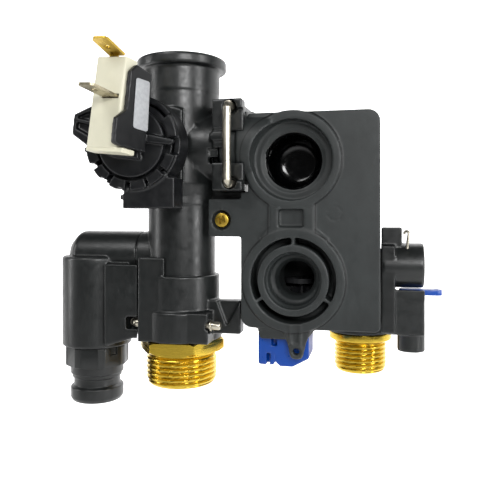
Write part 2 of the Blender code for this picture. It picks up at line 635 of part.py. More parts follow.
def port_body():
    """Plate with two exchanger ports, its rim, arm, branch spigot and channels."""
    plate = front_prism("port_body", rounded(PLATE_X, PLATE_Z, 4.2), PLATE_Y[0], SHELL_BACK_Y)
    inside_x = (PLATE_X[0] + SHELL_WALL, PLATE_X[1] - SHELL_WALL)
    inside_z = (PLATE_Z[0] + SHELL_WALL, PLATE_Z[1] - SHELL_WALL)
    shell = front_prism("shell", rounded(inside_x, inside_z, 2.0), PLATE_Y[1], SHELL_BACK_Y + 5)
    clip_side = box("clip_side", (20.0, 27.6), (-12.0, 20.0), (71.3, 110.0))
    cut(plate, shell, clip_side)
    ux, uz = UPPER_PORT
    lx, lz = LOWER_PORT
    parts = [
        box("arm", (ARM_X0, 30.0), (PLATE_Y[0], PLATE_Y[1]), ARM_Z),
        rod("upper", UPPER_PORT_R, PORT_Y, 4.0, axis="y", centre=(ux, 0, uz), steps=32),
        rod("upper_back", 13.0, 3.0, 16.0, axis="y", centre=(ux, 0, uz)),
        rod("lower", LOWER_PORT_R, PORT_Y, 4.0, axis="y", centre=(lx, 0, lz), steps=32),
        rod("lower_back", 10.0, 3.0, 16.0, axis="y", centre=(lx, 0, lz)),
        box("neck", (ux - 8.0, ux + 8.0), (-8.6, -6.0), (50.0, 72.0)),
        rod("turbine_barrel", 10.0, 21.0, 48.0, centre=(lx, TURBINE_Y, 0)),
        box("link", (lx - 9.0, COLD_X + 2.0), (22.0, REAR_Y), (24.0, 38.0)),
        rod("cold_barrel", 13.4, 16.0, 37.4, centre=(COLD_X, COLD_Y, 0)),
        box("cold_web", (COLD_X - 4.0, COLD_X + 8.0), (8.0, 24.0), (24.4, 37.0)),
        rod("fill_link", 6.0, 70.0, 75.2, axis="x", centre=(0, FILL_Y, FILL_Z), steps=20),
        box("fill_web", (66.0, 74.0), (8.0, 20.0), (36.0, 52.0)),
        box("lug", (41.6, 47.6), (-8.2, -5.4), (11.8, 26.0)),
    ]
    union(plate, *parts)
    outline = [(0, 14.2), (9.8, 14.2), (10.5, 14.6), (10.5, 14.8), (8.6, 14.8), (8.6, 17.0), (10.5, 17.0),
               (10.5, 18.1), (13.0, 18.1), (13.0, 20.3), (11.7, 20.3), (11.7, 24.1), (13.0, 24.1),
               (13.0, 36.0), (0, 36.0)]
    spigot = lathe("branch_spigot", outline, "black_nylon", "x", (0, 0, PLUG_Z), 32)
    union(plate, spigot)
    cuts = [
        rod("upper_recess", 14.4, -20.0, -4.0, axis="y", centre=(ux, 0, uz), steps=32),
        rod("upper_bore", 9.6, -10.0, 12.5, axis="y", centre=(ux, 0, uz)),
        tube("groove", 15.2, 12.7, -20.0, 0.0, axis="y", centre=(lx, 0, lz), steps=32),
        rod("lower_recess", 10.1, -20.0, -2.0, axis="y", centre=(lx, 0, lz)),
        rod("lower_bore", 6.5, -10.0, 16.0, axis="y", centre=(lx, 0, lz), steps=24),
        rod("branch_bore", BRANCH_BORE_R, 10.0, 42.0, axis="x", centre=(0, 0, PLUG_Z), steps=24),
        rod("turbine_bore", 7.2, 15.0, 45.0, centre=(lx, TURBINE_Y, 0), steps=24),
        box("window", (38.8, 47.8), (-12.0, -7.0), (59.0, 65.2)),
        rod("cold_pocket", 10.6, 10.0, 25.6, centre=(COLD_X, COLD_Y, 0)),
        rod("cold_riser", 6.4, 20.0, 30.0, centre=(COLD_X, COLD_Y, 0), steps=20),
        box("channel", CHANNEL_X, (26.0, REAR_Y + 3.0), (27.6, 34.6)),
        rod("cold_duct", 5.0, CHANNEL_X[1] - 2.0, COLD_X, axis="x", centre=(0, COLD_Y, 31.1), steps=20),
        rod("channel_hole", 3.4, 18.0, 28.0, axis="y", centre=(lx, 0, 31.0), steps=16),
        rod("fill_bore", 3.3, 67.2, 80.0, axis="x", centre=(0, FILL_Y, FILL_Z), steps=16),
        rod("fill_drop", 3.0, 30.0, FILL_Z, centre=(69.0, FILL_Y, 0), steps=16),
        rod("fill_feed", 2.6, FILL_Y - 1.0, 30.0, axis="y", centre=(69.0, 0, 31.0), steps=16),
        rod("eyelet", 1.2, -12.0, 0.0, axis="y", centre=(45.2, 0, 15.1), steps=12),
        rod("screw_recess", 3.5, -12.0, -5.9, axis="y", centre=ARM_SCREW, steps=16),
        rod("screw_hole", 1.7, -12.0, 0.0, axis="y", centre=ARM_SCREW, steps=12),
    ]
    for sx, sz in cover_screw_places():
        cuts.append(rod("screw_bore", 1.3, 30.0, REAR_Y + 3.0, axis="y", centre=(sx, 0, sz), steps=10))
    cut(plate, *cuts)
    spokes = []
    for degrees in (90, 210, 330):
        angle = math.radians(degrees)
        across = Vector((-math.sin(angle), math.cos(angle))) * 0.5
        ends = [Vector((math.cos(angle), math.sin(angle))) * radius for radius in (12.0, 15.9)]
        points = [ends[0] - across, ends[1] - across, ends[1] + across, ends[0] + across]
        spokes.append(front_prism("spoke", [(lx + point.x, lz + point.y) for point in points], -8.6, 0.6))
    union(plate, *spokes)
    return plate


def cover_screw_places():
    """Centres of the rear cover's four screws."""
    return [(38.0, 25.8), (38.0, 36.2), (51.6, 25.8), (51.6, 36.2)]


def rear_pieces():
    """Cover that closes the cold-water channel, with its screws."""
    x0, x1 = COVER_X
    cover = front_prism("rear_cover", rounded((x0, x1), (24.0, 38.0), 2.0, 3), REAR_Y + GAP, REAR_Y + 3.3)
    pad = box("pad", (x0 + 4.0, x1 - 4.0), (REAR_Y + 3.0, REAR_Y + 4.4), (28.8, 33.4))
    union(cover, pad)
    holes = [rod("hole", 1.6, REAR_Y - 3.0, REAR_Y + 9.0, axis="y", centre=(x, 0, z), steps=12)
             for x, z in cover_screw_places()]
    cut(cover, *holes)
    for index, (x, z) in enumerate(cover_screw_places()):
        outline = [(0, 33.0), (1.0, 33.0), (1.0, REAR_Y + 3.6), (2.4, REAR_Y + 3.6), (2.4, REAR_Y + 5.2),
                   (0, REAR_Y + 5.2)]
        lathe("cover_screw_%d" % (index + 1), outline, "steel", "y", (x, 0, z), 12)
    outline = [(0, -7.6), (2.2, -7.6), (2.8, -7.2), (2.8, -6.2), (1.35, -6.2), (1.35, -2.6), (0, -2.6)]
    lathe("arm_screw", outline, "tinned_brass", "y", ARM_SCREW, 16)


def cold_fitting():
    """Brass 1/2 inch inlet with its seal."""
    centre = (COLD_X, COLD_Y, 0)
    outline = [(7.0, 0.0), (9.6, 0.0), (COLD_THREAD_R, 0.8), (COLD_THREAD_R, 11.4), (9.4, 12.0), (9.4, 12.8),
               (12.6, 12.8), (12.6, 15.7), (10.2, 15.7), (10.2, 19.4), (8.9, 19.4), (8.9, 21.6), (10.2, 21.6),
               (10.2, 25.2), (7.0, 25.2)]
    lathe("cold_fitting", outline, "brass", centre=centre, steps=32)
    ring_seal("cold_seal", 9.75, 0.7, centre=(COLD_X, COLD_Y, 20.5))


def flow_sensor():
    """Blue sensor body below the lower port, with the turbine it reads."""
    lx = LOWER_PORT[0]
    body = box("flow_sensor", (30.8, 41.2), (-4.6, 9.0), (8.6, 20.6), "blue_plastic")
    right = box("right", (40.0, 49.2), (-4.6, 9.0), (9.6, 20.6))
    seat = box("seat", (36.0, 51.0), (8.0, 24.0), (15.0, 20.4))
    stopper = rod("stopper", 6.8, 19.0, 26.4, centre=(lx, TURBINE_Y, 0), steps=24)
    union(body, right, seat, stopper)
    notch = box("notch", (34.4, 36.0), (-6.0, 4.0), (6.0, 13.0))
    groove = tube("groove", 8.0, 5.6, 22.4, 24.4, centre=(lx, TURBINE_Y, 0), steps=24)
    bearing = rod("bearing", 0.9, 25.0, 30.0, centre=(lx, TURBINE_Y, 0), steps=10)
    cut(body, notch, groove, bearing)
    ring_seal("sensor_seal", 6.4, 0.6, centre=(lx, TURBINE_Y, 23.4))
    turbine = rod("turbine", 2.0, 28.0, 36.0, "white_plastic", centre=(lx, TURBINE_Y, 0), steps=16)
    axle = rod("axle", 0.6, 25.6, 38.4, centre=(lx, TURBINE_Y, 0), steps=10)
    union(turbine, axle)
    blades = []
    for index in range(6):
        angle = index * math.pi / 3
        blade = box("blade", (1.5, 5.8), (-0.4, 0.4), (28.6, 35.4))
        blade.data.transform(Matrix.Rotation(angle, 4, "Z"))
        blade.data.transform(Matrix.Translation(Vector((lx, TURBINE_Y, 0)) * MM))
        blades.append(blade)
    union(turbine, *blades)
    set_origin(turbine, (lx, TURBINE_Y, 30.0))
    cage = tube("turbine_cage", 6.9, 1.0, 37.0, 38.8, "white_plastic", centre=(lx, TURBINE_Y, 0), steps=24)
    vents = []
    for index in range(3):
        angle = index * 2 * math.pi / 3
        place = (lx + 4.1 * math.cos(angle), TURBINE_Y + 4.1 * math.sin(angle), 0)
        vents.append(rod("vent", 1.9, 30.0, 45.0, centre=place, steps=12))
    cut(cage, *vents)


# ---------------------------------------------------------------- fill valve

def fill_valve():
    """Non-return valve and quarter-turn fill tap at the right side."""
    outline = [(0, 75.5), (8.3, 75.5), (8.3, 89.0), (7.4, 89.9), (0, 89.9)]
    along = lathe("fill_housing", outline, "black_nylon", "x", (0, FILL_Y, FILL_Z), 32)
    parts = [
        box("wall", (75.5, 79.4), (FILL_Y - 8.0, FILL_Y + 8.0), (20.0, 52.0)),
        box("lower", (75.9, 90.0), (FILL_Y - 6.5, FILL_Y + 6.5), (19.2, 33.0)),
        box("top_box", (75.6, 82.0), (FILL_Y - 5.0, FILL_Y + 5.0), (48.0, 58.6)),
        rod("outlet", 4.8, 12.6, 24.0, centre=(FILL_X, FILL_Y, 0), steps=24),
    ]
    union(along, *parts)
    cuts = [
        rod("check_bore", 5.4, 76.8, 87.6, axis="x", centre=(0, FILL_Y, FILL_Z), steps=24),
        rod("inlet", 3.4, 70.0, 78.0, axis="x", centre=(0, FILL_Y, FILL_Z), steps=16),
        rod("drop", 1.4, 28.0, 42.0, centre=(77.9, FILL_Y, 0), steps=12),
        rod("feed", 1.5, 76.9, 83.0, axis="x", centre=(0, FILL_Y, 28.2), steps=12),
        rod("barrel_bore", 4.1, 24.0, 34.6, centre=(FILL_X, FILL_Y, 0), steps=24),
        rod("outlet_bore", 3.2, 10.0, 26.0, centre=(FILL_X, FILL_Y, 0), steps=16),
    ]
    cut(along, *cuts)
    outline = [(0, 30.0), (2.4, 30.0), (2.4, 24.4), (3.8, 24.4), (3.8, 31.0), (3.0, 31.0), (3.0, 32.4),
               (3.8, 32.4), (3.8, 33.3), (4.4, 33.3), (4.4, 35.7), (0, 35.7)]
    key = lathe("fill_tap_key", outline, "blue_plastic", centre=(FILL_X, FILL_Y, 0), steps=24)
    union(key, box("wing", (FILL_X + 2.9, 96.4), (FILL_Y - 2.2, FILL_Y + 2.2), (33.5, 35.5)))
    cut(key, rod("side_port", 1.5, FILL_X - 6.0, FILL_X, axis="x", centre=(0, FILL_Y, 28.2), steps=12))
    set_origin(key, (FILL_X, FILL_Y, 30.0))
    ring_seal("tap_seal", 3.55, 0.4, centre=(FILL_X, FILL_Y, 31.7))
    lathe("check_seat", [(2.6, 77.1), (5.1, 77.1), (5.1, 79.3), (2.6, 79.3)], "white_plastic", "x",
          (0, FILL_Y, FILL_Z), 20)
    outline = [(0, 79.6), (4.0, 79.6), (4.0, 80.9), (1.4, 80.9), (1.4, 84.6), (0, 84.6)]
    poppet = lathe("check_poppet", outline, "white_plastic", "x", (0, FILL_Y, FILL_Z), 20)
    set_origin(poppet, (79.6, FILL_Y, FILL_Z))
    coil_spring("check_spring", 2.9, 0.3, 4, 83.5, 87.1, axis="x", centre=(0, FILL_Y, FILL_Z))
    clip = [(83.6, FILL_Y - 9.6, 51.2), (83.8, FILL_Y - 9.9, 54.0), (84.2, FILL_Y - 9.7, 56.6),
            (83.4, FILL_Y - 9.0, 57.4), (82.6, FILL_Y - 8.6, 56.6)]
    wire("tap_clip", clip, 0.5, "steel")


def main():
    """Clear the scene and build every piece."""
    for thing in list(bpy.data.objects):
        bpy.data.objects.remove(thing)
    diverter_body()
    chamber_pieces()
    clip_pieces()
    motor_mount()
    motor_shell()
    motor_inside()
    return_housing()
    return_fitting()
    bypass_branch()
    port_body()
    rear_pieces()
    cold_fitting()
    flow_sensor()
    fill_valve()


main()
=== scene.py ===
"""Visual model of a motorised diverter valve group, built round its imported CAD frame.

Shapes are made in millimetres and scaled to metres when a piece is finished.
"""

import json
from functools import partial
from math import cos, pi, radians, sin, tan

import bmesh
import bpy
from mathutils import Matrix, Vector


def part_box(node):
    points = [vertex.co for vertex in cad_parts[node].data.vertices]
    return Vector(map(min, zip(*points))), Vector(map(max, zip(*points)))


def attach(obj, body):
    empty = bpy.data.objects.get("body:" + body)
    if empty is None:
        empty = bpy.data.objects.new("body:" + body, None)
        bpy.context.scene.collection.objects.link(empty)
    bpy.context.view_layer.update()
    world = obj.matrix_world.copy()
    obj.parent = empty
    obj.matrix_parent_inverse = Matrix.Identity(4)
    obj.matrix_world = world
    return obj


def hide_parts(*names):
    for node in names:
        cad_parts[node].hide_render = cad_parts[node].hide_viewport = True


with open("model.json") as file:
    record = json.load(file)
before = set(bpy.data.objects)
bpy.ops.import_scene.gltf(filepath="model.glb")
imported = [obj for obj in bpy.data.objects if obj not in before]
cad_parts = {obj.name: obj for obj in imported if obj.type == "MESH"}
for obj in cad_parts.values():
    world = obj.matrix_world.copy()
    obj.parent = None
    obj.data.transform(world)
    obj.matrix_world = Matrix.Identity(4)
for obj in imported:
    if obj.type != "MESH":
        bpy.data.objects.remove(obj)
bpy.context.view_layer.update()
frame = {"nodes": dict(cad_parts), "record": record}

MM = 0.001
AXES = {
    "x": Matrix.Rotation(pi / 2, 4, "Y"),
    "y": Matrix.Rotation(-pi / 2, 4, "X"),
    "z": Matrix.Identity(4),
}


def node_box(node):
    """Lowest and highest corner of a CAD node in millimetres."""
    low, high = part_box(node)
    return Vector(low) / MM, Vector(high) / MM


# ---- shapes

def place_object(name, data):
    """New object in the scene."""
    thing = bpy.data.objects.new(name, data)
    bpy.context.scene.collection.objects.link(thing)
    return thing


def solid(builder, axis="z", centre=(0, 0, 0)):
    """Turn a bmesh into a working object, with its local Z along the named axis."""
    builder.transform(Matrix.Translation(Vector(centre)) @ AXES[axis])
    bmesh.ops.recalc_face_normals(builder, faces=builder.faces)
    mesh = bpy.data.meshes.new("work")
    builder.to_mesh(mesh)
    builder.free()
    return place_object("work", mesh)


def soft_corners(points, steps=5):
    """Closed outline of (a, b) or (a, b, radius) corners, with arcs where a radius is given."""
    outline = []
    count = len(points)
    for index, point in enumerate(points):
        here = Vector(point[:2])
        radius = point[2] if len(point) > 2 else 0
        to_last = Vector(points[index - 1][:2]) - here
        to_next = Vector(points[(index + 1) % count][:2]) - here
        if radius <= 0 or to_last.length < 1e-6 or to_next.length < 1e-6:
            outline.append(here)
            continue
        half = to_last.angle(to_next) / 2
        reach = min(radius / tan(half), 0.48 * to_last.length, 0.48 * to_next.length)
        middle = (to_last.normalized() + to_next.normalized()).normalized()
        centre = here + middle * (reach / cos(half))
        start = here + to_last.normalized() * reach - centre
        end = here + to_next.normalized() * reach - centre
        for step in range(steps + 1):
            share = step / steps
            outline.append(centre + (start * (1 - share) + end * share).normalized() * start.length)
    return outline


def bridge(builder, first, second):
    """Band of faces between two rings of the same count."""
    for step in range(len(first)):
        after = (step + 1) % len(first)
        builder.faces.new((first[step], first[after], second[after], second[step]))


def lathe(points, axis="z", centre=(0, 0, 0), steps=96):
    """Solid of revolution from a closed outline of (radius, height[, corner radius]) points."""
    outline = soft_corners(points)
    builder = bmesh.new()
    rings = []
    for radius, height in outline:
        if radius < 1e-5:
            rings.append([builder.verts.new((0, 0, height))])
            continue
        ring = []
        for step in range(steps):
            angle = 2 * pi * step / steps
            ring.append(builder.verts.new((radius * cos(angle), radius * sin(angle), height)))
        rings.append(ring)
    for index, first in enumerate(rings):
        second = rings[(index + 1) % len(rings)]
        if len(first) > 1 and len(second) > 1:
            bridge(builder, first, second)
        elif len(first) > 1 or len(second) > 1:
            for step in range(steps):
                after = (step + 1) % steps
                if len(first) == 1:
                    builder.faces.new((first[0], second[step], second[after]))
                else:
                    builder.faces.new((first[step], first[after], second[0]))
    return solid(builder, axis, centre)


def rod(radius, low, high, axis="z", centre=(0, 0, 0), steps=64, edge=0.0):
    """Cylinder between two heights along its axis, with rounded edges if asked."""
    return lathe([(0, low), (radius, low, edge), (radius, high, edge), (0, high)], axis, centre, steps)


def tube(outer, inner, low, high, axis="z", centre=(0, 0, 0), steps=64, edge=0.0):
    """Cylinder with a bore."""
    outline = [(inner, low, edge), (outer, low, edge), (outer, high, edge), (inner, high, edge)]
    return lathe(outline, axis, centre, steps)


def prism(points, low, high, axis="z", centre=(0, 0, 0)):
    """Outline of (a, b[, corner radius]) points extruded along the axis."""
    outline = soft_corners(points)
    builder = bmesh.new()
    bottom = [builder.verts.new((a, b, low)) for a, b in outline]
    top = [builder.verts.new((a, b, high)) for a, b in outline]
    builder.faces.new(bottom)
    builder.faces.new(top)
    for index in range(len(outline)):
        after = (index + 1) % len(outline)
        builder.faces.new((bottom[index], bottom[after], top[after], top[index]))
    return solid(builder, axis, centre)


def front_prism(points, front, back):
    """Outline of (x, z[, corner radius]) points extruded along Y from front to back."""
    return prism([(point[0], -point[1]) + tuple(point[2:]) for point in points], front, back, "y")


def side_prism(points, low, high):
    """Outline of (y, z[, corner radius]) points extruded along X."""
    return prism([(-point[1], point[0]) + tuple(point[2:]) for point in points], low, high, "x")


def rectangle(a, b, radius=0.0):
    """Corners of a rectangle with one corner radius."""
    return [(a[0], b[0], radius), (a[1], b[0], radius), (a[1], b[1], radius), (a[0], b[1], radius)]


def block(x, y, z, radius=0.0):
    """Box given by its three ranges, with its four vertical corners rounded."""
    return prism(rectangle(x, y, radius), z[0], z[1])


def wire(points, radius, sides=16, steps=6):
    """Round wire through a few points, eased by a Catmull-Rom curve, with domed ends."""
    path = [Vector(point) for point in points]
    smooth = []
    for index in range(len(path) - 1):
        before = path[max(index - 1, 0)]
        after = path[min(index + 2, len(path) - 1)]
        here, there = path[index], path[index + 1]
        for step in range(steps):
            t = step / steps
            smooth.append(0.5 * ((2 * here) + (there - before) * t
                                 + (2 * before - 5 * here + 4 * there - after) * t * t
                                 + (3 * here - before - 3 * there + after) * t * t * t))
    smooth.append(path[-1])
    start_dir = (smooth[0] - smooth[1]).normalized()
    end_dir = (smooth[-1] - smooth[-2]).normalized()
    rings = [(smooth[0] + start_dir * radius * 0.45, 0.55), (smooth[0] + start_dir * radius * 0.25, 0.85)]
    rings += [(point, 1.0) for point in smooth]
    rings += [(smooth[-1] + end_dir * radius * 0.25, 0.85), (smooth[-1] + end_dir * radius * 0.45, 0.55)]
    builder = bmesh.new()
    side = None
    made = []
    for index, (point, share) in enumerate(rings):
        along = (rings[min(index + 1, len(rings) - 1)][0] - rings[max(index - 1, 0)][0]).normalized()
        if side is None:
            side = along.orthogonal().normalized()
        side = (side - along * side.dot(along)).normalized()
        up = along.cross(side)
        ring = []
        for step in range(sides):
            angle = 2 * pi * step / sides
            offset = side * cos(angle) + up * sin(angle)
            ring.append(builder.verts.new(point + offset * radius * share))
        made.append(ring)
    for first, second in zip(made, made[1:]):
        bridge(builder, first, second)
    builder.faces.new(made[0])
    builder.faces.new(made[-1])
    return solid(builder)


def bake(thing):
    """Apply every modifier on a working object."""
    graph = bpy.context.evaluated_depsgraph_get()
    mesh = bpy.data.meshes.new_from_object(thing.evaluated_get(graph))
    thing.modifiers.clear()
    old = thing.data
    thing.data = mesh
    bpy.data.meshes.remove(old)
    return thing


def drop(thing):
    """Remove a working object and its mesh."""
    mesh = thing.data
    bpy.data.objects.remove(thing)
    bpy.data.meshes.remove(mesh)


def boolean(thing, tools, operation):
    """Apply one Boolean for each tool and remove the tools."""
    for tool in tools:
        modifier = thing.modifiers.new("join", "BOOLEAN")
        modifier.operation = operation
        modifier.solver = "MANIFOLD"
        modifier.object = tool
        bake(thing)
        drop(tool)
    return thing


def add(thing, *tools):
    """Union of a working object and tools."""
    return boolean(thing, tools, "UNION")


def cut(thing, *tools):
    """Cut tools out of a working object."""
    return boolean(thing, tools, "DIFFERENCE")


def mould(thing, voxel=0.4, rounds=4):
    """Give a body the even, slightly rounded skin of a moulding."""
    skin = thing.modifiers.new("skin", "REMESH")
    skin.mode = "VOXEL"
    skin.voxel_size = voxel
    soften = thing.modifiers.new("soften", "SMOOTH")
    soften.factor = 0.5
    soften.iterations = rounds
    return bake(thing)


def bevel(thing, width=0.25, segments=2, angle=32):
    """Round the sharp edges of a hard piece."""
    modifier = thing.modifiers.new("edge", "BEVEL")
    modifier.width = width
    modifier.segments = segments
    modifier.limit_method = "ANGLE"
    modifier.angle_limit = radians(angle)
    modifier.use_clamp_overlap = True
    return bake(thing)


def turn_about_y(thing, degrees, x, z):
    """Turn a working object about an axis along Y."""
    pivot = Vector((x, 0, z))
    turn = Matrix.Rotation(radians(degrees), 4, "Y")
    thing.data.transform(Matrix.Translation(pivot) @ turn @ Matrix.Translation(-pivot))
    return thing


def finish(thing, name, material, slot, *nodes, body="valve_body", sharp=None):
    """Scale a working object to metres and make it a piece that stands for CAD nodes."""
    thing.data.transform(Matrix.Scale(MM, 4))
    thing.name = name
    thing.data.name = name
    thing.data.materials.clear()
    thing.data.materials.append(material)
    thing.data.shade_smooth()
    if sharp:
        thing.data.set_sharp_from_angle(angle=radians(sharp))
    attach(thing, body)
    if nodes:
        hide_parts(*nodes)
    return thing


# ---- materials

def srgb(red, green, blue):
    """Linear colour from display values between 0 and 255."""
    return tuple((value / 255.0) ** 2.2 for value in (red, green, blue)) + (1.0,)


def tint(base, gain, lift=0.0):
    """Colour made lighter or darker."""
    return tuple(min(value * gain + lift, 1.0) for value in base[:3]) + (1.0,)


class Surface:
    """Node tree of one procedural material."""

    def __init__(self, name, roughness, metallic=0.0, specular=0.5):
        self.material = bpy.data.materials.new(name)
        self.material.use_nodes = True
        self.nodes = self.material.node_tree.nodes
        self.links = self.material.node_tree.links
        self.shader = self.nodes["Principled BSDF"]
        self.shader.inputs["Roughness"].default_value = roughness
        self.shader.inputs["Metallic"].default_value = metallic
        self.shader.inputs["Specular IOR Level"].default_value = specular
        self.coords = self.nodes.new("ShaderNodeTexCoord").outputs["Object"]
        self.height = None

    def node(self, kind, source=None, into="Value", **values):
        """New node with input values set, fed by a source if one is given."""
        made = self.nodes.new("ShaderNode" + kind)
        for name, value in values.items():
            made.inputs[name.replace("_", " ")].default_value = value
        if source is not None:
            self.links.new(source, made.inputs[into])
        return made

    def feed(self, value, socket):
        """Link a socket, or set a constant."""
        if hasattr(value, "is_output"):
            self.links.new(value, socket)
        elif value is not None:
            socket.default_value = value

    def noise(self, scale, detail=3.0, roughness=0.55, stretch=None):
        """Noise over the surface; scale is in features per metre."""
        source = self.coords
        if stretch:
            source = self.node("Mapping", source, "Vector", Scale=stretch).outputs["Vector"]
        noise = self.node("TexNoise", source, "Vector", Scale=scale, Detail=detail, Roughness=roughness)
        return noise.outputs["Fac"]

    def ramp(self, source, stops):
        """Colour ramp with (position, colour) stops."""
        ramp = self.nodes.new("ShaderNodeValToRGB")
        elements = ramp.color_ramp.elements
        while len(elements) < len(stops):
            elements.new(0.5)
        for element, (position, colour) in zip(elements, stops):
            element.position = position
            element.color = colour
        self.links.new(source, ramp.inputs["Fac"])
        return ramp.outputs["Color"]

    def math(self, operation, first, second=None):
        """Math node on sockets or numbers."""
        made = self.nodes.new("ShaderNodeMath")
        made.operation = operation
        for value, socket in zip((first, second), made.inputs):
            self.feed(value, socket)
        return made.outputs[0]

    def spread(self, source, low, high):
        """Map a factor between 0.3 and 0.7 to a range."""
        remap = self.node("MapRange", source, From_Min=0.3, From_Max=0.7, To_Min=low, To_Max=high)
        return remap.outputs["Result"]

    def mix(self, factor, first, second):
        """Mix two colours; either may be a socket or a constant."""
        mix = self.nodes.new("ShaderNodeMix")
        mix.data_type = "RGBA"
        for value, index in ((factor, 0), (first, 6), (second, 7)):
            self.feed(value, mix.inputs[index])
        return mix.outputs[2]

    def edges(self, low, high):
        """Factor that is 1 on convex edges, where a highlight is painted."""
        pointed = self.nodes.new("ShaderNodeNewGeometry").outputs["Pointiness"]
        return self.node("MapRange", pointed, From_Min=low, From_Max=high).outputs["Result"]

    def colour(self, socket):
        """Drive the base colour."""
        self.links.new(socket, self.shader.inputs["Base Color"])

    def rough(self, socket):
        """Drive the roughness."""
        self.links.new(socket, self.shader.inputs["Roughness"])

    def bump(self, source, strength, distance_mm):
        """Add a layer of bump."""
        bump = self.node("Bump", source, "Height", Strength=strength, Distance=distance_mm * MM)
        if self.height:
            self.links.new(self.height, bump.inputs["Normal"])
        self.height = bump.outputs["Normal"]
        self.links.new(self.height, self.shader.inputs["Normal"])


def nylon(name, base, roughness, specular=0.4, grain=0.16):
    """Glass-filled nylon: fine moulded grain, cloudy flow marks and a painted highlight on convex edges."""
    surface = Surface(name, roughness, specular=specular)
    # The third, lightest tint is a painted highlight for convex edges.
    dark, light, edge_highlight = tint(base, 0.72), tint(base, 1.35, 0.002), tint(base, 1.9, 0.012)
    cloud = surface.noise(55.0, 4.0, 0.6)
    flow = surface.noise(160.0, 3.0, 0.6, stretch=(1.0, 1.0, 0.25))
    body = surface.ramp(cloud, [(0.32, dark), (0.68, light)])
    streak = surface.mix(0.35, body, surface.ramp(flow, [(0.35, dark), (0.7, light)]))
    # Convex edges are mixed towards that tint: a painted highlight.
    surface.colour(surface.mix(surface.edges(0.53, 0.64), streak, edge_highlight))
    surface.rough(surface.spread(surface.noise(420.0, 3.0), roughness - 0.06, roughness + 0.09))
    surface.bump(surface.noise(2600.0, 2.0), grain, 0.05)
    surface.bump(surface.noise(300.0, 2.0), 0.10, 0.12)
    return surface


UPPER = (43.5, 82.8)
LOWER = (44.0, 40.0)
NECK_HALF = (8.2, 9.0)
NECK_Z = 61.5
# Offset and half width of the painted shadow line round the port rings and neck.
PAINTED_SHADOW_AT, PAINTED_SHADOW_HALF = 0.22, 0.2


def ported(surface):
    """Plate moulding: painted shadow line round the foot of the two port rings and their neck, and painted shade in
    the polished upper bore.
    """
    minus, times, less, greatest, least, size = (partial(surface.math, operation) for operation in (
        "SUBTRACT", "MULTIPLY", "LESS_THAN", "MAXIMUM", "MINIMUM", "ABSOLUTE"))
    x, y, z = surface.node("SeparateXYZ", surface.coords, "Vector").outputs

    def away(centre, radius):
        """Distance outside a round port."""
        across, up = minus(x, centre[0] * MM), minus(z, centre[1] * MM)
        square = surface.math("ADD", times(across, across), times(up, up))
        return minus(surface.math("SQRT", square), radius * MM)

    side = minus(size(minus(x, UPPER[0] * MM)), NECK_HALF[0] * MM)
    level = minus(size(minus(z, NECK_Z * MM)), NECK_HALF[1] * MM)
    edge = least(least(away(UPPER, 17.6), away(LOWER, 18.4)), greatest(side, level))
    # Painted shadow: a near-black line just outside the port rings and neck, on the front faces only.
    painted_shadow = times(less(size(minus(edge, PAINTED_SHADOW_AT * MM)), PAINTED_SHADOW_HALF * MM), less(y, -7.0 * MM))
    # Painted shade: inside of the upper bore coloured near black; the lower roughness below is its real polish.
    shaded_polished_bore = times(less(away(UPPER, 11.2), 0.0), surface.math("GREATER_THAN", y, -3.3 * MM))
    colour = surface.shader.inputs["Base Color"].links[0].from_socket
    surface.colour(surface.mix(greatest(painted_shadow, shaded_polished_bore), colour, srgb(9, 10, 11)))
    rough = surface.shader.inputs["Roughness"].links[0].from_socket
    surface.rough(minus(rough, times(shaded_polished_bore, 0.36)))
    return surface.material


def plastic(name, base, roughness, variation=0.08, grain=0.08):
    """Plain coloured moulding with faint clouding and grain."""
    surface = Surface(name, roughness)
    dark, light = tint(base, 1 - variation), tint(base, 1 + variation)
    surface.colour(surface.ramp(surface.noise(120.0, 4.0), [(0.3, dark), (0.7, light)]))
    surface.rough(surface.spread(surface.noise(600.0), roughness - 0.05, roughness + 0.07))
    surface.bump(surface.noise(1900.0, 2.0), grain, 0.05)
    return surface.material


def metal(name, base, roughness, stretch, darker=0.6, streaks=900.0, bump=0.08):
    """Turned, drawn or rolled metal with fine lines along one direction and slight tarnish."""
    surface = Surface(name, roughness, metallic=1.0)
    dull = tint(base, darker)
    tarnish = surface.noise(140.0, 5.0, 0.65)
    surface.colour(surface.mix(surface.spread(tarnish, 0.0, 0.55), base, dull))
    lines = surface.noise(streaks, 2.0, 0.5, stretch=stretch)
    surface.rough(surface.spread(lines, roughness - 0.06, roughness + 0.12))
    surface.bump(lines, bump, 0.02)
    return surface.material


def rubber(name):
    """Matte black elastomer."""
    surface = Surface(name, 0.78, specular=0.3)
    shade = surface.noise(300.0)
    surface.colour(surface.ramp(shade, [(0.3, srgb(20, 20, 21)), (0.7, srgb(34, 34, 35))]))
    surface.bump(surface.noise(2200.0), 0.12, 0.04)
    return surface.material


def paper(name):
    """Blank label paper with fine fibres."""
    surface = Surface(name, 0.55)
    fibres = surface.noise(900.0, 4.0, 0.6)
    surface.colour(surface.ramp(fibres, [(0.3, srgb(150, 152, 155)), (0.7, srgb(168, 170, 172))]))
    surface.bump(fibres, 0.06, 0.03)
    return surface.material


def winding(name):
    """Enamelled copper wire laid in fine turns."""
    surface = Surface(name, 0.35, metallic=1.0)
    lines = surface.noise(2500.0, 1.0, 0.4, stretch=(0.3, 3.0, 0.3))
    surface.colour(surface.ramp(lines, [(0.35, srgb(120, 62, 30)), (0.65, srgb(205, 128, 76))]))
    surface.bump(lines, 0.5, 0.08)
    return surface.material


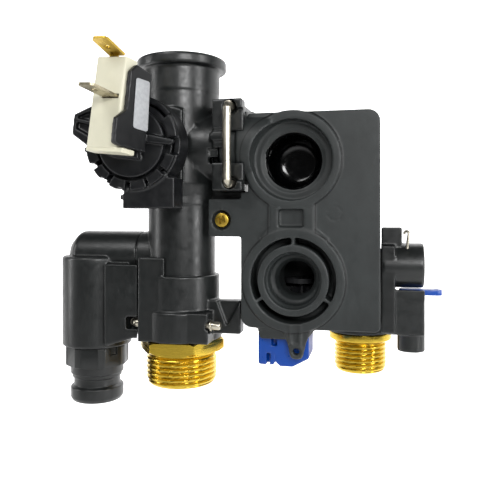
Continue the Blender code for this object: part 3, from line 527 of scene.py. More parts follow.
NYLON = nylon("black nylon", srgb(26, 28, 28), 0.34, 0.5).material
# Lighter copy of the black nylon for the port plate: the lighter tone is painted light falling on the plate; its
# rougher finish is its own.
LIT_PLATE_NYLON = ported(nylon("lit plate nylon", srgb(40, 43, 43), 0.48, 0.4, 0.24))
MOTOR_BLACK = nylon("motor black", srgb(20, 21, 23), 0.38).material
CREAM = plastic("cream plastic", srgb(208, 205, 183), 0.42, 0.05)
WHITE = plastic("white acetal", srgb(226, 226, 220), 0.4, 0.04)
BLUE = plastic("blue plastic", srgb(8, 66, 150), 0.32, 0.12)
BRASS = metal("brass", srgb(212, 180, 70), 0.2, (0.12, 0.12, 2.0), 0.78)
TAB_BRASS = metal("tab brass", srgb(196, 164, 70), 0.3, (2.0, 0.2, 0.2), 0.75)
TIN = metal("tinned brass", srgb(190, 180, 152), 0.3, (2.0, 0.2, 0.2), 0.7)
STEEL = metal("steel wire", srgb(196, 190, 174), 0.32, (0.6, 0.6, 0.6), 0.85, 300.0, 0.02)
PLATED = metal("plated steel", srgb(176, 176, 172), 0.32, (0.3, 0.3, 0.3), 0.75)
RUBBER = rubber("rubber")
COPPER = winding("copper winding")
FERRITE = metal("ferrite", srgb(70, 66, 66), 0.5, (0.5, 0.5, 0.5), 0.7)
PAPER = paper("label paper")

SLOT_MATERIALS = {
    "black_nylon": NYLON, "dark_plastic": MOTOR_BLACK, "cream_plastic": CREAM, "white_plastic": WHITE,
    "blue_plastic": BLUE, "brass": BRASS, "tinned_brass": TIN, "steel": PLATED, "copper_wire": COPPER,
    "rubber": RUBBER, "magnet": FERRITE, "label": PAPER,
}


# ---- column

PLUG_Z = 88.0
BRANCH_Z = 48.0
TUBE_R = 14.4
LOWER_TUBE_R = 12.9
CLIP_X = 22.2
CLIP_LEG = 13.8


def column():
    """Column with flange, plug chamber, clip bracket and the stub of the bypass elbow."""
    low, high = node_box("diverter_body")
    top = high.z
    foot = low.z
    outline = [(12.4, top, 0.5), (16.9, top, 0.8), (16.9, top - 4.0, 0.8), (TUBE_R, top - 4.0, 0.6),
               (TUBE_R, 108.9), (TUBE_R - 0.22, 108.6), (TUBE_R - 0.22, 74.5, 2.0), (LOWER_TUBE_R, 70.5, 2.0),
               (LOWER_TUBE_R, 67.2), (LOWER_TUBE_R - 0.25, 67.0), (LOWER_TUBE_R - 0.25, foot, 0.4),
               (8.5, foot), (8.5, 74.0), (11.0, 76.0), (11.0, top - 14.0), (12.4, top - 14.0)]
    body = lathe(outline, steps=128)
    barrel = rod(14.0, -14.6, 14.6, "y", (0, 0, PLUG_Z), 96)
    cut(barrel, block((5.0, 20.0), (-20.0, -2.0), (60.0, 120.0)))
    add(body, barrel)
    add(body, rod(13.2, 4.0, 17.0, "x", (0, 0, PLUG_Z), 96), rod(12.6, -11.4, 0.0, "y", (0, 0, PLUG_Z), 96, 1.2))
    add(body, rod(9.0, -15.2, -5.0, "x", (0, 0, BRANCH_Z)), block((16.2, 27.0), (-15.0, -9.4), (71.7, 104.0)))
    add(body, block((11.0, 25.0), (-2.4, 6.0), (66.0, 74.0)), block((16.2, 25.5), (-10.0, 15.0), (71.9, 103.6)))
    rib = side_prism([(9.0, 86.0), (23.0, 97.0, 1.0), (24.0, 103.2, 1.0), (9.0, 103.2)], 23.6, 26.6)
    pocket = [(12.4, 93.0, 0.6), (20.6, 98.2, 0.6), (20.6, 101.2, 0.6), (12.4, 101.2, 0.6)]
    cut(rib, side_prism(pocket, 22.0, 25.4))
    add(body, rib)
    cut(body, rod(11.6, -9.9, 20.0, "y", (0, 0, PLUG_Z), 96), rod(4.8, -12.2, -9.0, "y", (0, 0, PLUG_Z)))
    cut(body, rod(3.4, -20.0, 0.0, "y", (0, 0, PLUG_Z)), rod(8.6, 4.0, 18.0, "x", (0, 0, PLUG_Z)))
    cut(body, rod(10.9, 13.8, 19.0, "x", (0, 0, PLUG_Z)), rod(13.4, 17.6, 30.0, "x", (0, 0, PLUG_Z)))
    bracket_front(body)
    cut(body, rod(6.0, -20.0, 0.0, "x", (0, 0, BRANCH_Z)))
    mould(body, 0.4, 3)
    return finish(body, "column", NYLON, "black_nylon", "diverter_body")


def bracket_front(body):
    """Groove for the clip, its two holes and the stepped gaps of the bracket's left side."""
    cut(body, block((20.4, 28.0), (-20.0, -12.6), (PLUG_Z - CLIP_LEG + 1.0, PLUG_Z + CLIP_LEG - 1.0)))
    for side in (-1, 1):
        centre = (CLIP_X + 0.4, 0, PLUG_Z + side * (CLIP_LEG - 0.4))
        cut(body, rod(1.7, -20.0, 20.0, "y", (CLIP_X, 0, PLUG_Z + side * CLIP_LEG)))
        cut(body, rod(2.3, -20.0, -11.0, "y", centre))
    left = (14.0, 20.6)
    cut(body, block(left, (-20.0, -14.2), (92.7, 93.8)), block(left, (-20.0, -14.0), (86.8, 89.4)))
    cut(body, block((14.0, 28.0), (-20.0, -5.0), (81.6, 83.9)), block(left, (-20.0, -12.0), (83.8, 86.9)))
    add(body, rod(1.5, 15.2, 19.6, "x", (0, -13.6, 90.9), 32))


def chamber_cap():
    """Cap that closes the plug chamber behind the column."""
    outline = [(0, 17.4), (6.0, 17.4), (6.6, 16.7), (9.8, 16.7), (10.4, 17.4), (12.9, 17.4, 0.7),
               (12.9, 14.9, 0.4), (11.0, 14.9), (11.0, 9.4), (0, 9.4)]
    cap = lathe(outline, "y", (0, 0, PLUG_Z), 96)
    for index in range(6):
        angle = radians(60 * index + 30)
        place = (11.6 * cos(angle), 0, PLUG_Z + 11.6 * sin(angle))
        cut(cap, rod(0.9, 16.9, 18.5, "y", place, 24))
    bevel(cap, 0.15)
    finish(cap, "chamber_closure", MOTOR_BLACK, "dark_plastic", "chamber_cap", sharp=35)


def u_bend(front, leg, steps, bend=3.0):
    """Two rounded corners of a U-shaped clip, as (along, across) points."""
    corners = []
    for side in (1, -1):
        for step in range(steps + 1):
            angle = radians(90 * (step if side > 0 else steps - step) / steps)
            corners.append((front + bend - bend * sin(angle), side * (leg - bend + bend * cos(angle))))
    return corners


def cross_clip():
    """Steel wire clip through the bracket."""
    low, high = node_box("cross_clip")
    points = [(CLIP_X, high.y, PLUG_Z + CLIP_LEG), (CLIP_X, 0, PLUG_Z + CLIP_LEG)]
    points += [(CLIP_X, along, PLUG_Z + across) for along, across in u_bend(low.y + 1.5, CLIP_LEG, 6)]
    points += [(CLIP_X, 0, PLUG_Z - CLIP_LEG), (CLIP_X, high.y, PLUG_Z - CLIP_LEG)]
    clip = wire(points, 1.5, 24, 3)
    finish(clip, "cross_clip_wire", STEEL, "steel", "cross_clip", sharp=50)


# ---- motor

MOTOR_X = -9.0
RING_R = 16.8
RING_FRONT = -26.8


def around_motor(radius, degrees):
    """Point at a radius and an angle about the motor's axis."""
    angle = radians(degrees)
    return (MOTOR_X + radius * cos(angle), PLUG_Z + radius * sin(angle))


def arc_band(inner, outer, start, end, front, back):
    """Band of a ring between two angles about the motor's axis."""
    count = max(3, int(abs(end - start) / 4))
    turns = [start + (end - start) * step / count for step in range(count + 1)]
    outline = [around_motor(outer, turn) for turn in turns]
    outline += [around_motor(inner, turn) for turn in reversed(turns)]
    return front_prism(outline, front, back)


def motor_base():
    """Base block and castellated bayonet ring that hold the motor."""
    centre = (MOTOR_X, 0, PLUG_Z)
    ring = lathe([(0, -15.4), (RING_R, -15.4, 0.3), (RING_R, -24.2, 0.3), (14.6, -24.2, 0.3), (14.6, -16.6),
                  (0, -16.6)], "y", centre, 128)
    foot = block((-12.9, 5.8), (-25.0, -15.6), (65.5, 76.0))
    cut(foot, rod(15.6, -40.0, 0.0, "y", centre, 96))
    add(foot, block((-14.0, -12.6), (-24.6, -22.8), (68.6, 70.2)))
    add(ring, foot)
    for start, end, outer in ((6, 34, 16.4), (-38, -17, 16.2), (-66, -44, 16.2), (-92, -70, 16.3),
                              (-120, -99, 16.8), (-147, -127, 16.8), (-176, -154, 17.0)):
        add(ring, arc_band(13.0, outer, start, end, RING_FRONT, -24.0))
        add(ring, arc_band(14.6, 16.8, start - 2, end + 2, -25.2, -24.0))
    add(ring, block((-26.6, -18.4), (-26.6, -23.0), (85.2, 86.6)))
    for turn in (-105, -130, -152):
        cut(ring, arc_band(15.9, 18.0, turn - 4, turn + 3, -30.0, -19.0))
    cut(ring, rod(3.4, -30.0, 0.0, "y", (0, 0, PLUG_Z)))
    mould(ring, 0.33, 2)
    finish(ring, "motor_base", MOTOR_BLACK, "dark_plastic", "motor_mount")


BLOCK_CORNER = (-19.5, -38.5, 85.3)
BLOCK_WIDTH, BLOCK_DEPTH, BLOCK_HEIGHT = 11.3, 5.2, 30.1
BLOCK_TURNS = (4.75, 5.2, -9.0)
SIDE_FLARE = 12.1
WALL_INNER, WALL_OUTER = 0.35, 2.15
MOTOR_ROLL = 7.0


def leaning(thing):
    """Move a piece from the terminal block's own frame, its corner at the origin, to its place."""
    roll, lean, turn = (radians(degrees) for degrees in BLOCK_TURNS)
    turned = Matrix.Rotation(turn, 4, "Z") @ Matrix.Rotation(-lean, 4, "X") @ Matrix.Rotation(roll, 4, "Y")
    thing.data.transform(Matrix.Translation(BLOCK_CORNER) @ turned)
    return thing


def side_panel(points, inner, outer):
    """Panel along the block's flared side, from an outline of (distance back, height) points."""
    panel = side_prism(points, inner, outer)
    flare = Matrix.Rotation(-radians(SIDE_FLARE), 4, "Z")
    panel.data.transform(Matrix.Translation((BLOCK_WIDTH, 0, 0)) @ flare)
    return panel


def motor_pieces():
    """Can, frame with its side wall, terminal block, terminals and label."""
    centre = (MOTOR_X, 0, PLUG_Z)
    can = lathe([(0, -24.3), (4.0, -24.3, 0.3), (4.0, -24.0), (9.0, -24.0), (9.0, -24.3, 0.2), (10.2, -24.3, 0.2),
                 (10.2, -23.9), (11.4, -23.9), (11.4, -24.3), (13.9, -24.3, 0.5), (13.9, -20.3), (13.1, -20.3),
                 (13.1, -23.2), (0, -23.2)], "y", centre, 128)
    finish(can, "motor_can_shell", MOTOR_BLACK, "dark_plastic", "motor_can", sharp=35)

    body = front_prism([(-13.9, 110.0, 1.0), (-11.9, 112.0, 1.0), (-8.0, 112.5, 1.0), (-5.5, 109.5, 1.0),
                        (-5.5, 88.5, 1.0), (-4.4, 82.5), (-13.9, 82.5), (-22.4, 84.5), (-29.6, 88.5, 0.6),
                        (-29.6, 95.3, 0.8), (-22.9, 99.0, 0.6), (-19.9, 99.0)], -30.0, -27.1)
    cut(body, front_prism([(-28.4, 90.6, 0.5), (-22.2, 88.2, 0.5), (-22.2, 92.0, 0.5), (-28.4, 93.0, 0.5)],
                          -31.0, -28.2))
    cut(body, front_prism([(-28.4, 94.2, 0.4), (-23.0, 93.6, 0.4), (-23.0, 97.2, 0.4), (-27.9, 95.2, 0.4)],
                          -31.0, -28.2))
    add(body, rod(12.0, -27.6, -24.6, "y", centre, 96))
    add(body, front_prism([(-6.0, 88.4), (6.0, 88.4), (7.0, 89.2), (7.0, 90.2), (-6.0, 91.6)], -29.6, -27.4))
    turn_about_y(body, MOTOR_ROLL, MOTOR_X, PLUG_Z)
    add(body, leaning(prism([(1.0, 5.6), (13.2, 5.6), (13.8, 8.0), (1.0, 8.0)], 3.0, 26.0)))
    wall = [(-2.6, 1.4, 0.5), (-0.7, 0.8), (11.2, 0.9), (10.2, 27.0), (3.2, 28.2, 0.8), (0.8, 25.4, 0.8),
            (1.1, 12.8, 0.6), (-2.9, 9.3, 0.6)]
    add(body, leaning(side_panel(wall, WALL_INNER, WALL_OUTER)))
    mould(body, 0.33, 2)
    finish(body, "motor_frame_body", MOTOR_BLACK, "dark_plastic", "motor_frame")

    cream = prism([(0, 0), (BLOCK_WIDTH, 0), (12.4, BLOCK_DEPTH), (0, BLOCK_DEPTH)], 0.0, BLOCK_HEIGHT)
    bevel(cream, 0.5, 3)
    foot = prism([(-0.3, 0.3, 0.3), (11.0, 0.3), (13.4, 0.8, 0.6), (14.6, 6.2, 1.0), (13.2, 7.4, 1.0),
                  (-0.3, 4.9, 0.3)], -1.1, 0.5)
    bevel(foot, 0.35, 3)
    add(cream, foot)
    cut(cream, block((3.6, 10.2), (-1.0, 4.8), (16.3, 17.8)), block((3.6, 7.4), (0.7, 2.1), (27.0, 32.0)))
    finish(leaning(cream), "terminal_holder", CREAM, "cream_plastic", "terminal_block", sharp=25)

    lower = blade_outline(6.9, -13.3, 4.5, 16.6)
    finish(leaning(lower), "terminal_tab_lower", TIN, "tinned_brass", "terminal_lower", sharp=30)

    upper = blade_outline(6.4, -9.8, 0.9, 0.0)
    upper.data.transform(Matrix.Translation((0, 0.8, 31.0)) @ Matrix.Rotation(radians(-10.0), 4, "X"))
    stem = block((3.9, 7.1), (1.0, 1.8), (27.4, 31.3))
    bevel(stem, 0.1)
    finish(leaning(add(stem, upper)), "terminal_tab_upper", TAB_BRASS, "brass", "terminal_upper",
           sharp=30)

    label = side_panel([(3.1, 23.9, 0.9), (9.3, 24.2, 0.9), (11.0, 7.7, 0.9), (4.3, 7.7, 0.9)], 2.2, 2.5)
    bevel(label, 0.08)
    finish(leaning(label), "label_plate", PAPER, "label", "motor_label", sharp=30)


def blade_outline(middle, near, far, height):
    """Flat quick-connect blade with chamfered end, bevelled edges and its latch hole."""
    half, thick = 2.95, 0.8
    blade = prism([(middle - half, far), (middle + half, far), (middle + half, near + 1.0, 0.4),
                   (middle + half - 0.9, near, 0.5), (middle - half + 0.9, near, 0.5),
                   (middle - half, near + 1.0, 0.4)], height, height + thick)
    place = (middle, near + 5.0, 0)
    cut(blade, rod(0.8, height - 1.0, height + 2.0, centre=place, steps=32))
    cut(blade, rod(1.25, height - 1.0, height + 0.12, centre=place, steps=32))
    return bevel(blade, 0.12)


# ---- lower left

CLIP_Z = 23.5
RETURN_LEG = 11.0


THREAD_PITCH = 1.814
COLD = (66.0, 33.0, 0)
ARM_SCREW = (17.7, 0, 61.4)
LUG_EYE = (45.2, 0, 15.1)
CHECK_AXIS = (0, 14.0, 44.4)
TAP_X = 85.4
SENSOR_AXIS = (44.0, 16.0, 0)


def return_block():
    """Flat-fronted housing of the 3/4 inch fitting, with its arm and ear."""
    front, top = -13.6, 41.1
    body = lathe([(9.0, 17.0), (15.2, 17.0), (15.2, 27.6), (14.3, 28.4), (14.3, top - 0.2), (9.0, top - 0.2)],
                 steps=96)
    add(body, block((-12.4, 14.2), (front, 13.6), (17.0, 28.0)))
    add(body, block((-12.2, -2.0), (front, -9.4), (27.0, top + 6.6)))
    arm = block((13.0, 24.6), (-7.0, -1.0), (20.0, 32.0))
    cut(arm, front_prism([(15.4, 33.0), (19.4, 22.6), (25.2, 33.0)], -8.0, -5.9))
    add(body, arm)
    cut(body, rod(12.2, 16.0, 28.6, steps=96), rod(9.0, 28.0, 50.0), rod(13.2, top - 0.2, top + 8.0, steps=96))
    cut(body, rod(9.4, -20.0, -4.0, "x", (0, 0, BRANCH_Z)))
    for side in (-1, 1):
        cut(body, rod(1.75, -20.0, 20.0, "x", (0, side * RETURN_LEG, CLIP_Z)))
        cut(body, rod(2.6, 13.2, 20.0, "x", (0, side * RETURN_LEG, CLIP_Z)))
    mould(body, 0.38, 3)
    finish(body, "return_block", NYLON, "black_nylon", "return_housing")


def return_clip():
    """Steel wire clip that holds the 3/4 inch fitting."""
    low, high = node_box("return_clip")
    points = [(high.x, RETURN_LEG, CLIP_Z), (0, RETURN_LEG, CLIP_Z)]
    points += [(along, across, CLIP_Z) for along, across in u_bend(low.x + 1.3, RETURN_LEG, 5)]
    points += [(0, -RETURN_LEG, CLIP_Z), (high.x, -RETURN_LEG, CLIP_Z)]
    clip = wire(points, 1.45, 20, 3)
    add(clip, tube(1.95, 0.5, 14.3, 15.1, "x", (0, -RETURN_LEG, CLIP_Z), 48, 0.2))
    finish(clip, "return_clip_wire", STEEL, "steel", "return_clip", sharp=50)


def threaded(outline_low, outline_high, radius, root, low, high, pitch, centre, steps=144):
    """Fitting whose outside between two heights carries a pipe thread."""
    builder = bmesh.new()
    rows = int((high - low) / pitch * 14)
    levels = [(None, low + (high - low) * index / rows) for index in range(rows + 1)]
    outline = [(p[0], p[1]) for p in soft_corners(outline_low)] + levels
    outline += [(p[0], p[1]) for p in soft_corners(outline_high)]
    rings = []
    for reach, height in outline:
        ring = []
        for step in range(steps):
            share = step / steps
            angle = 2 * pi * share
            size = reach
            if reach is None:
                phase = ((height - low) / pitch - share) % 1.0
                wave = 0.5 - 0.5 * cos(2 * pi * phase)
                crest = min(1.0, 1.35 * wave)
                fade = min(1.0, (height - low) / pitch, (high - height) / (0.5 * pitch))
                size = root + (radius - root) * crest * (0.35 + 0.65 * fade)
            ring.append(builder.verts.new((size * cos(angle), size * sin(angle), height)))
        rings.append(ring)
    for index, first in enumerate(rings):
        bridge(builder, first, rings[(index + 1) % len(rings)])
    return solid(builder, "z", centre)


def hexagon(across_corners, low, high, turn):
    """Hexagonal collar with chamfered corners."""
    points = []
    for index in range(6):
        angle = radians(60 * index + turn)
        points.append((across_corners * cos(angle), across_corners * sin(angle), 0.3))
    collar = prism(points, low, high)
    cone = lathe([(0, low), (across_corners - 1.3, low), (across_corners - 0.1, low + 0.9),
                  (across_corners - 0.1, high - 0.5), (across_corners - 0.7, high), (0, high)],
                 steps=96)
    return boolean(collar, [cone], "INTERSECT")


def brass_fittings():
    """Return fitting with a 3/4 inch thread and cold inlet with a 1/2 inch thread."""
    low_part = [(8.5, 27.9, 0.3), (8.5, 0.0, 0.5), (11.9, 0.0, 0.3), (12.4, 0.6)]
    high_part = [(12.0, 11.2), (12.0, 16.9), (11.8, 17.0), (11.8, 20.4), (10.2, 20.4), (10.2, 22.6), (11.8, 22.6),
                 (11.8, 22.9), (9.3, 22.9), (9.3, 26.4), (11.8, 26.4), (11.8, 27.9, 0.3)]
    fitting = threaded(low_part, high_part, 13.2, 12.25, 0.7, 11.0, THREAD_PITCH, (0, 0, 0))
    add(fitting, cut(hexagon(16.4, 12.4, 16.7, 4.0), rod(10.0, -5.0, 40.0, steps=96)))
    finish(fitting, "return_fitting_brass", BRASS, "brass", "return_fitting", sharp=40)
    low_part = [(7.0, 25.0, 0.3), (7.0, 0.0, 0.5), (9.3, 0.0, 0.3), (9.8, 0.6)]
    high_part = [(9.4, 12.0), (9.4, 15.9), (10.2, 15.9), (10.2, 19.4), (8.9, 19.4), (8.9, 21.6), (10.2, 21.6),
                 (10.2, 25.0, 0.3)]
    fitting = threaded(low_part, high_part, 10.45, 9.6, 0.7, 11.9, THREAD_PITCH, COLD)
    collar = lathe([(8.0, 12.8), (12.6, 12.8, 0.5), (12.6, 15.7, 0.4), (8.0, 15.7)], centre=COLD, steps=128)
    add(fitting, collar)
    finish(fitting, "cold_fitting_brass", BRASS, "brass", "cold_fitting", sharp=40)


BYPASS_X = -35.1


def bypass():
    """Bypass cylinder with its elbow, web and push-in spigot."""
    x = BYPASS_X
    body = lathe([(0, 13.0), (13.2, 13.0, 0.5), (13.2, 47.5, 1.1), (0, 47.5)], centre=(x, 0, 0), steps=128)
    bend = [(0, -44.5), (5.0, -44.5, 3.0), (9.0, -40.5, 3.0), (9.0, -15.5), (0, -15.5)]
    elbow = lathe(bend, "x", (0, 0, BRANCH_Z))
    add(body, elbow)
    web = front_prism([(-26.0, 14.4), (-14.6, 18.0), (-12.9, 18.0), (-12.9, 45.0), (-26.0, 45.0)], -12.6, 6.0)
    cut(web, block((-17.4, -11.0), (-14.0, 14.0), (CLIP_Z - 2.2, CLIP_Z + 2.2)),
        block((-18.0, -11.0), (-11.9, 8.0), (16.0, 46.0)))
    add(body, web, block((-24.0, -15.6), (-6.0, 6.0), (18.5, 44.0)))
    add(body, block((-16.0, -13.8), (-5.8, 5.8), (19.0, 37.5)), rod(7.9, -16.0, -13.8, "x", (0, 0, BRANCH_Z)))
    cut(body, rod(10.6, 8.0, 42.0, centre=(x, 0, 0)), rod(5.6, 40.0, 48.0, centre=(x, 0, 0)))
    cut(body, rod(5.6, x - 1.0, 0.0, "x", (0, 0, BRANCH_Z)),
        block((-17.6, -13.0), (-11.9, 7.0), (CLIP_Z - 2.0, CLIP_Z + 2.0)))
    mould(body, 0.4, 3)
    finish(body, "bypass_body", NYLON, "black_nylon", "bypass_housing")

    bottom = node_box("bypass_spigot")[0].z
    outline = [(6.2, bottom, 0.4), (9.3, bottom, 1.0), (10.1, -7.2, 0.6), (10.1, -3.4, 0.6), (8.9, -2.6, 0.4),
               (8.8, 0.2, 0.4), (9.4, 0.5, 0.2), (9.4, 1.7, 0.2), (10.1, 2.0, 0.3), (10.1, 5.0, 0.3),
               (12.0, 5.4, 0.3), (12.0, 12.7, 0.3), (9.8, 12.7), (9.8, 19.0), (6.2, 19.0)]
    spigot = lathe(outline, centre=(x, 0, 0), steps=128)
    flats = [(45 * index + 12, ((11.4, 16.0), (-3.2, 3.2), (3.0, 12.9))) for index in range(8)]
    notches = [(degrees, ((10.7, 16.0), (-1.6, 1.6), (9.8, 14.0))) for degrees in (-32, 148, 205)]
    for degrees, ranges in flats + notches:
        tool = block(*ranges)
        tool.data.transform(Matrix.Translation((x, 0, 0)) @ Matrix.Rotation(radians(degrees), 4, "Z"))
        cut(spigot, tool)
    bevel(spigot, 0.2, 2, 40)
    finish(spigot, "bypass_spigot_body", NYLON, "black_nylon", "bypass_spigot", sharp=40)


# ---- port body

PLATE_X, PLATE_Z, PLATE_Y = (25.0, 74.2), (22.7, 99.8), (-8.0, 12.0)
UPPER_RING_R = 17.5
LOWER_RING_R = 18.3


def port_plate():
    """Port body: plate with its rim, two exchanger ports, neck, arm, lug and rear channels."""
    (x0, x1), (z0, z1), (front, back) = PLATE_X, PLATE_Z, PLATE_Y
    ux, uz = UPPER
    lx, lz = LOWER
    plate = front_prism([(x0, z0, 4.2), (x1, z0, 2.0), (x1, z1, 4.2), (x0, z1, 4.2)], front, back)
    cut(plate, front_prism(rectangle((x0 + 2.6, x1 - 2.6), (z0 + 2.6, z1 - 2.6), 2.0), -4.5, back + 5))
    cut(plate, block((20.0, 27.6), (-12.0, 20.0), (71.3, 110.0)))
    add(plate, block((12.8, 30.0), (front, -4.5), (55.4, 69.0)), rod(UPPER_RING_R, -9.0, 4.0, "y", (ux, 0, uz), 128))
    add(plate, rod(13.0, 3.0, 16.0, "y", (ux, 0, uz), 96), rod(LOWER_RING_R, -9.0, 4.0, "y", (lx, 0, lz), 128))
    add(plate, rod(10.0, 3.0, 16.0, "y", (lx, 0, lz), 96))
    add(plate, front_prism([(ux - 12.6, 70.8), (ux - 8.0, 66.6), (ux - 8.0, 59.0), (lx - 12.0, 55.0), (lx, 48.0),
                            (lx + 12.4, 54.4), (ux + 8.0, 58.4), (ux + 8.0, 66.8), (ux + 12.2, 70.6),
                            (ux, 78.0)], -8.7, -6.0))
    for tool in (
        rod(10.0, 21.0, 48.0, centre=SENSOR_AXIS),
        block((lx - 9.0, 68.0), (22.0, 41.0), (24.0, 38.0)),
        rod(13.4, 16.0, 37.4, centre=COLD, steps=96),
        block((62.0, 74.0), (8.0, 24.0), (24.4, 37.0)),
        rod(6.0, 70.0, 75.2, "x", CHECK_AXIS),
        block((66.0, 74.0), (8.0, 20.0), (36.0, 52.0)),
        front_prism([(39.6, 24.0), (42.0, 17.6, 0.8), (43.2, 12.2, 1.6), (47.2, 12.2, 1.6), (48.4, 17.6, 0.8),
                     (51.0, 24.0)], -8.2, -5.4),
        front_prism([(30.6, 23.6), (32.0, 18.9, 0.6), (48.6, 18.9, 0.6), (52.4, 23.6)], -7.2, -5.0),
    ):
        add(plate, tool)
    add(plate, lathe([(0, 14.2), (9.8, 14.2), (10.5, 14.6), (10.5, 14.8), (8.6, 14.8), (8.6, 17.0), (10.5, 17.0),
                      (10.5, 18.1), (13.0, 18.1), (13.0, 20.3), (11.7, 20.3), (11.7, 24.1), (13.0, 24.1),
                      (13.0, 36.0), (0, 36.0)], "x", (0, 0, PLUG_Z), 96))
    for x in (43.0, 46.6):
        add(plate, block((x - 0.45, x + 0.45), (-9.2, -7.8), (17.6, 24.5)))
    add(plate, tube(2.5, 1.0, -8.9, -7.6, "y", LUG_EYE, 48))
    port_cuts(plate)
    mould(plate, 0.42, 2)
    finish(plate, "port_plate", LIT_PLATE_NYLON, "black_nylon", "port_body")


def port_cuts(plate):
    """Recesses, bores, grooves and windows of the port body."""
    ux, uz = UPPER
    lx, lz = LOWER
    cut(plate, lathe([(0, -20.0), (14.4, -20.0), (14.4, -4.0, 0.6), (11.6, -4.0), (11.2, -3.4), (10.4, -3.4, 0.4),
                      (9.8, -2.6), (9.8, 12.0, 8.0), (0, 12.5)], "y", (ux, 0, uz), 128))
    cut(plate, tube(15.2, 12.7, -20.0, 0.0, "y", (lx, 0, lz), 128))
    cut(plate, lathe([(0, -20.0), (10.1, -20.0), (10.1, -7.4), (9.2, -6.4), (9.2, -2.6), (7.6, -1.6), (6.5, 1.0),
                      (6.5, 16.0), (0, 16.0)], "y", (lx, 0, lz), 128))
    for tool in (
        rod(7.0, 10.0, 28.0, "x", (0, 0, PLUG_Z)), rod(3.0, 27.0, 42.0, "x", (0, 0, PLUG_Z - 2.0)),
        rod(7.2, 15.0, 45.0, centre=SENSOR_AXIS),
        block((38.8, 47.8), (-12.0, -6.6), (59.0, 65.2)),
        rod(10.6, 10.0, 25.6, centre=COLD, steps=96),
        rod(6.4, 20.0, 30.0, centre=COLD),
        block((40.2, 49.6), (26.0, 44.0), (27.6, 34.6)),
        rod(5.0, 47.6, 66.0, "x", (0, 33.0, 31.1)),
        rod(3.4, 18.0, 28.0, "y", (lx, 0, 31.0)),
        rod(3.3, 67.2, 80.0, "x", CHECK_AXIS),
        rod(1.2, -12.0, 0.0, "y", LUG_EYE),
        rod(3.5, -12.0, -5.9, "y", ARM_SCREW),
        rod(1.7, -12.0, 0.0, "y", ARM_SCREW),
        tube(4.4, 3.95, -12.0, -7.8, "y", ARM_SCREW),
        tube(2.7, 2.3, -12.0, -7.8, "y", (58.6, 0, 63.8)),
    ):
        cut(plate, tool)
    for degrees in (90, 210, 330):
        angle = radians(degrees)
        across = Vector((-sin(angle), cos(angle))) * 0.55
        ends = [Vector((cos(angle), sin(angle))) * radius for radius in (12.0, 15.9)]
        points = [ends[0] - across, ends[1] - across, ends[1] + across, ends[0] + across]
        add(plate, front_prism([(lx + point.x, lz + point.y) for point in points], -8.6, 0.6))


def cross_head(screw, place, turns, half, reach, width):
    """Cut a cross recess into a screw head on an axis along Y."""
    for turn in turns:
        slot = block((-half, half), reach, (-width, width))
        slot.data.transform(Matrix.Rotation(radians(turn), 4, "Y"))
        slot.data.transform(Matrix.Translation(place))
        cut(screw, slot)


def rear_cover():
    """Cover plate behind the cold-water channel, with four cross-head screws, and the arm's screw."""
    low, high = node_box("rear_cover")
    cover = front_prism(rectangle((low.x, high.x), (low.z, high.z), 2.0), low.y, 44.3)
    add(cover, front_prism(rectangle((low.x + 4, high.x - 4), (28.8, 33.4), 1.0), 44.0, high.y))
    places = [(38.0, 25.8), (38.0, 36.2), (51.6, 25.8), (51.6, 36.2)]
    for x, z in places:
        cut(cover, rod(1.6, 30.0, 50.0, "y", (x, 0, z), 32))
    bevel(cover, 0.3)
    finish(cover, "rear_cover_plate", MOTOR_BLACK, "dark_plastic", "rear_cover", sharp=35)
    for index, (x, z) in enumerate(places):
        screw = lathe([(0, 33.0), (1.0, 33.0), (1.0, 44.6), (2.4, 44.6, 0.2), (2.4, 45.6, 0.5), (0, 46.2)], "y",
                      (x, 0, z), 48)
        cross_head(screw, (x, 0, z), (20 + 30 * index, 110 + 30 * index), 1.7, (45.4, 47.0), 0.28)
        node = "cover_screw_%d" % (index + 1)
        finish(screw, node + "_head", PLATED, "steel", node, sharp=35)
    screw = lathe([(0, -7.4), (1.4, -7.6, 0.4), (2.6, -7.4, 0.4), (2.8, -6.2), (1.35, -6.2), (1.35, -2.6),
                   (0, -2.6)], "y", ARM_SCREW, 64)
    cross_head(screw, ARM_SCREW, (25, 115), 1.6, (-8.5, -6.7), 0.35)
    finish(screw, "arm_screw_head", TAB_BRASS, "tinned_brass", "arm_screw", sharp=35)


# ---- sensor and fill valve

def flow_sensor():
    """Blue flow sensor under the lower port."""
    body = front_prism([(30.8, 9.0, 0.8), (36.4, 9.0, 0.8), (36.9, 10.2), (38.8, 8.6, 0.8), (43.4, 8.6, 0.8),
                        (49.2, 11.8, 0.6), (49.2, 20.6, 0.4), (30.8, 20.6, 0.4)], -4.6, 9.0)
    cut(body, front_prism([(33.9, 8.0), (34.9, 8.0), (35.3, 13.2, 0.3), (33.8, 13.2, 0.3)], -6.0, -1.4))
    cut(body, block((35.6, 37.6), (-6.0, -2.0), (15.8, 18.6)))
    cut(body, front_prism([(36.6, 8.0), (37.4, 8.0), (37.1, 14.6), (36.8, 14.6)], -6.0, -3.6))
    add(body, block((36.0, 46.4), (8.0, 24.0), (15.0, 20.4), 1.0), rod(6.8, 19.0, 26.4, centre=SENSOR_AXIS))
    cut(body, tube(8.0, 5.6, 22.4, 24.4, centre=SENSOR_AXIS), rod(0.9, 25.0, 30.0, centre=SENSOR_AXIS))
    mould(body, 0.3, 2)
    finish(body, "flow_sensor_body", BLUE, "blue_plastic", "flow_sensor")


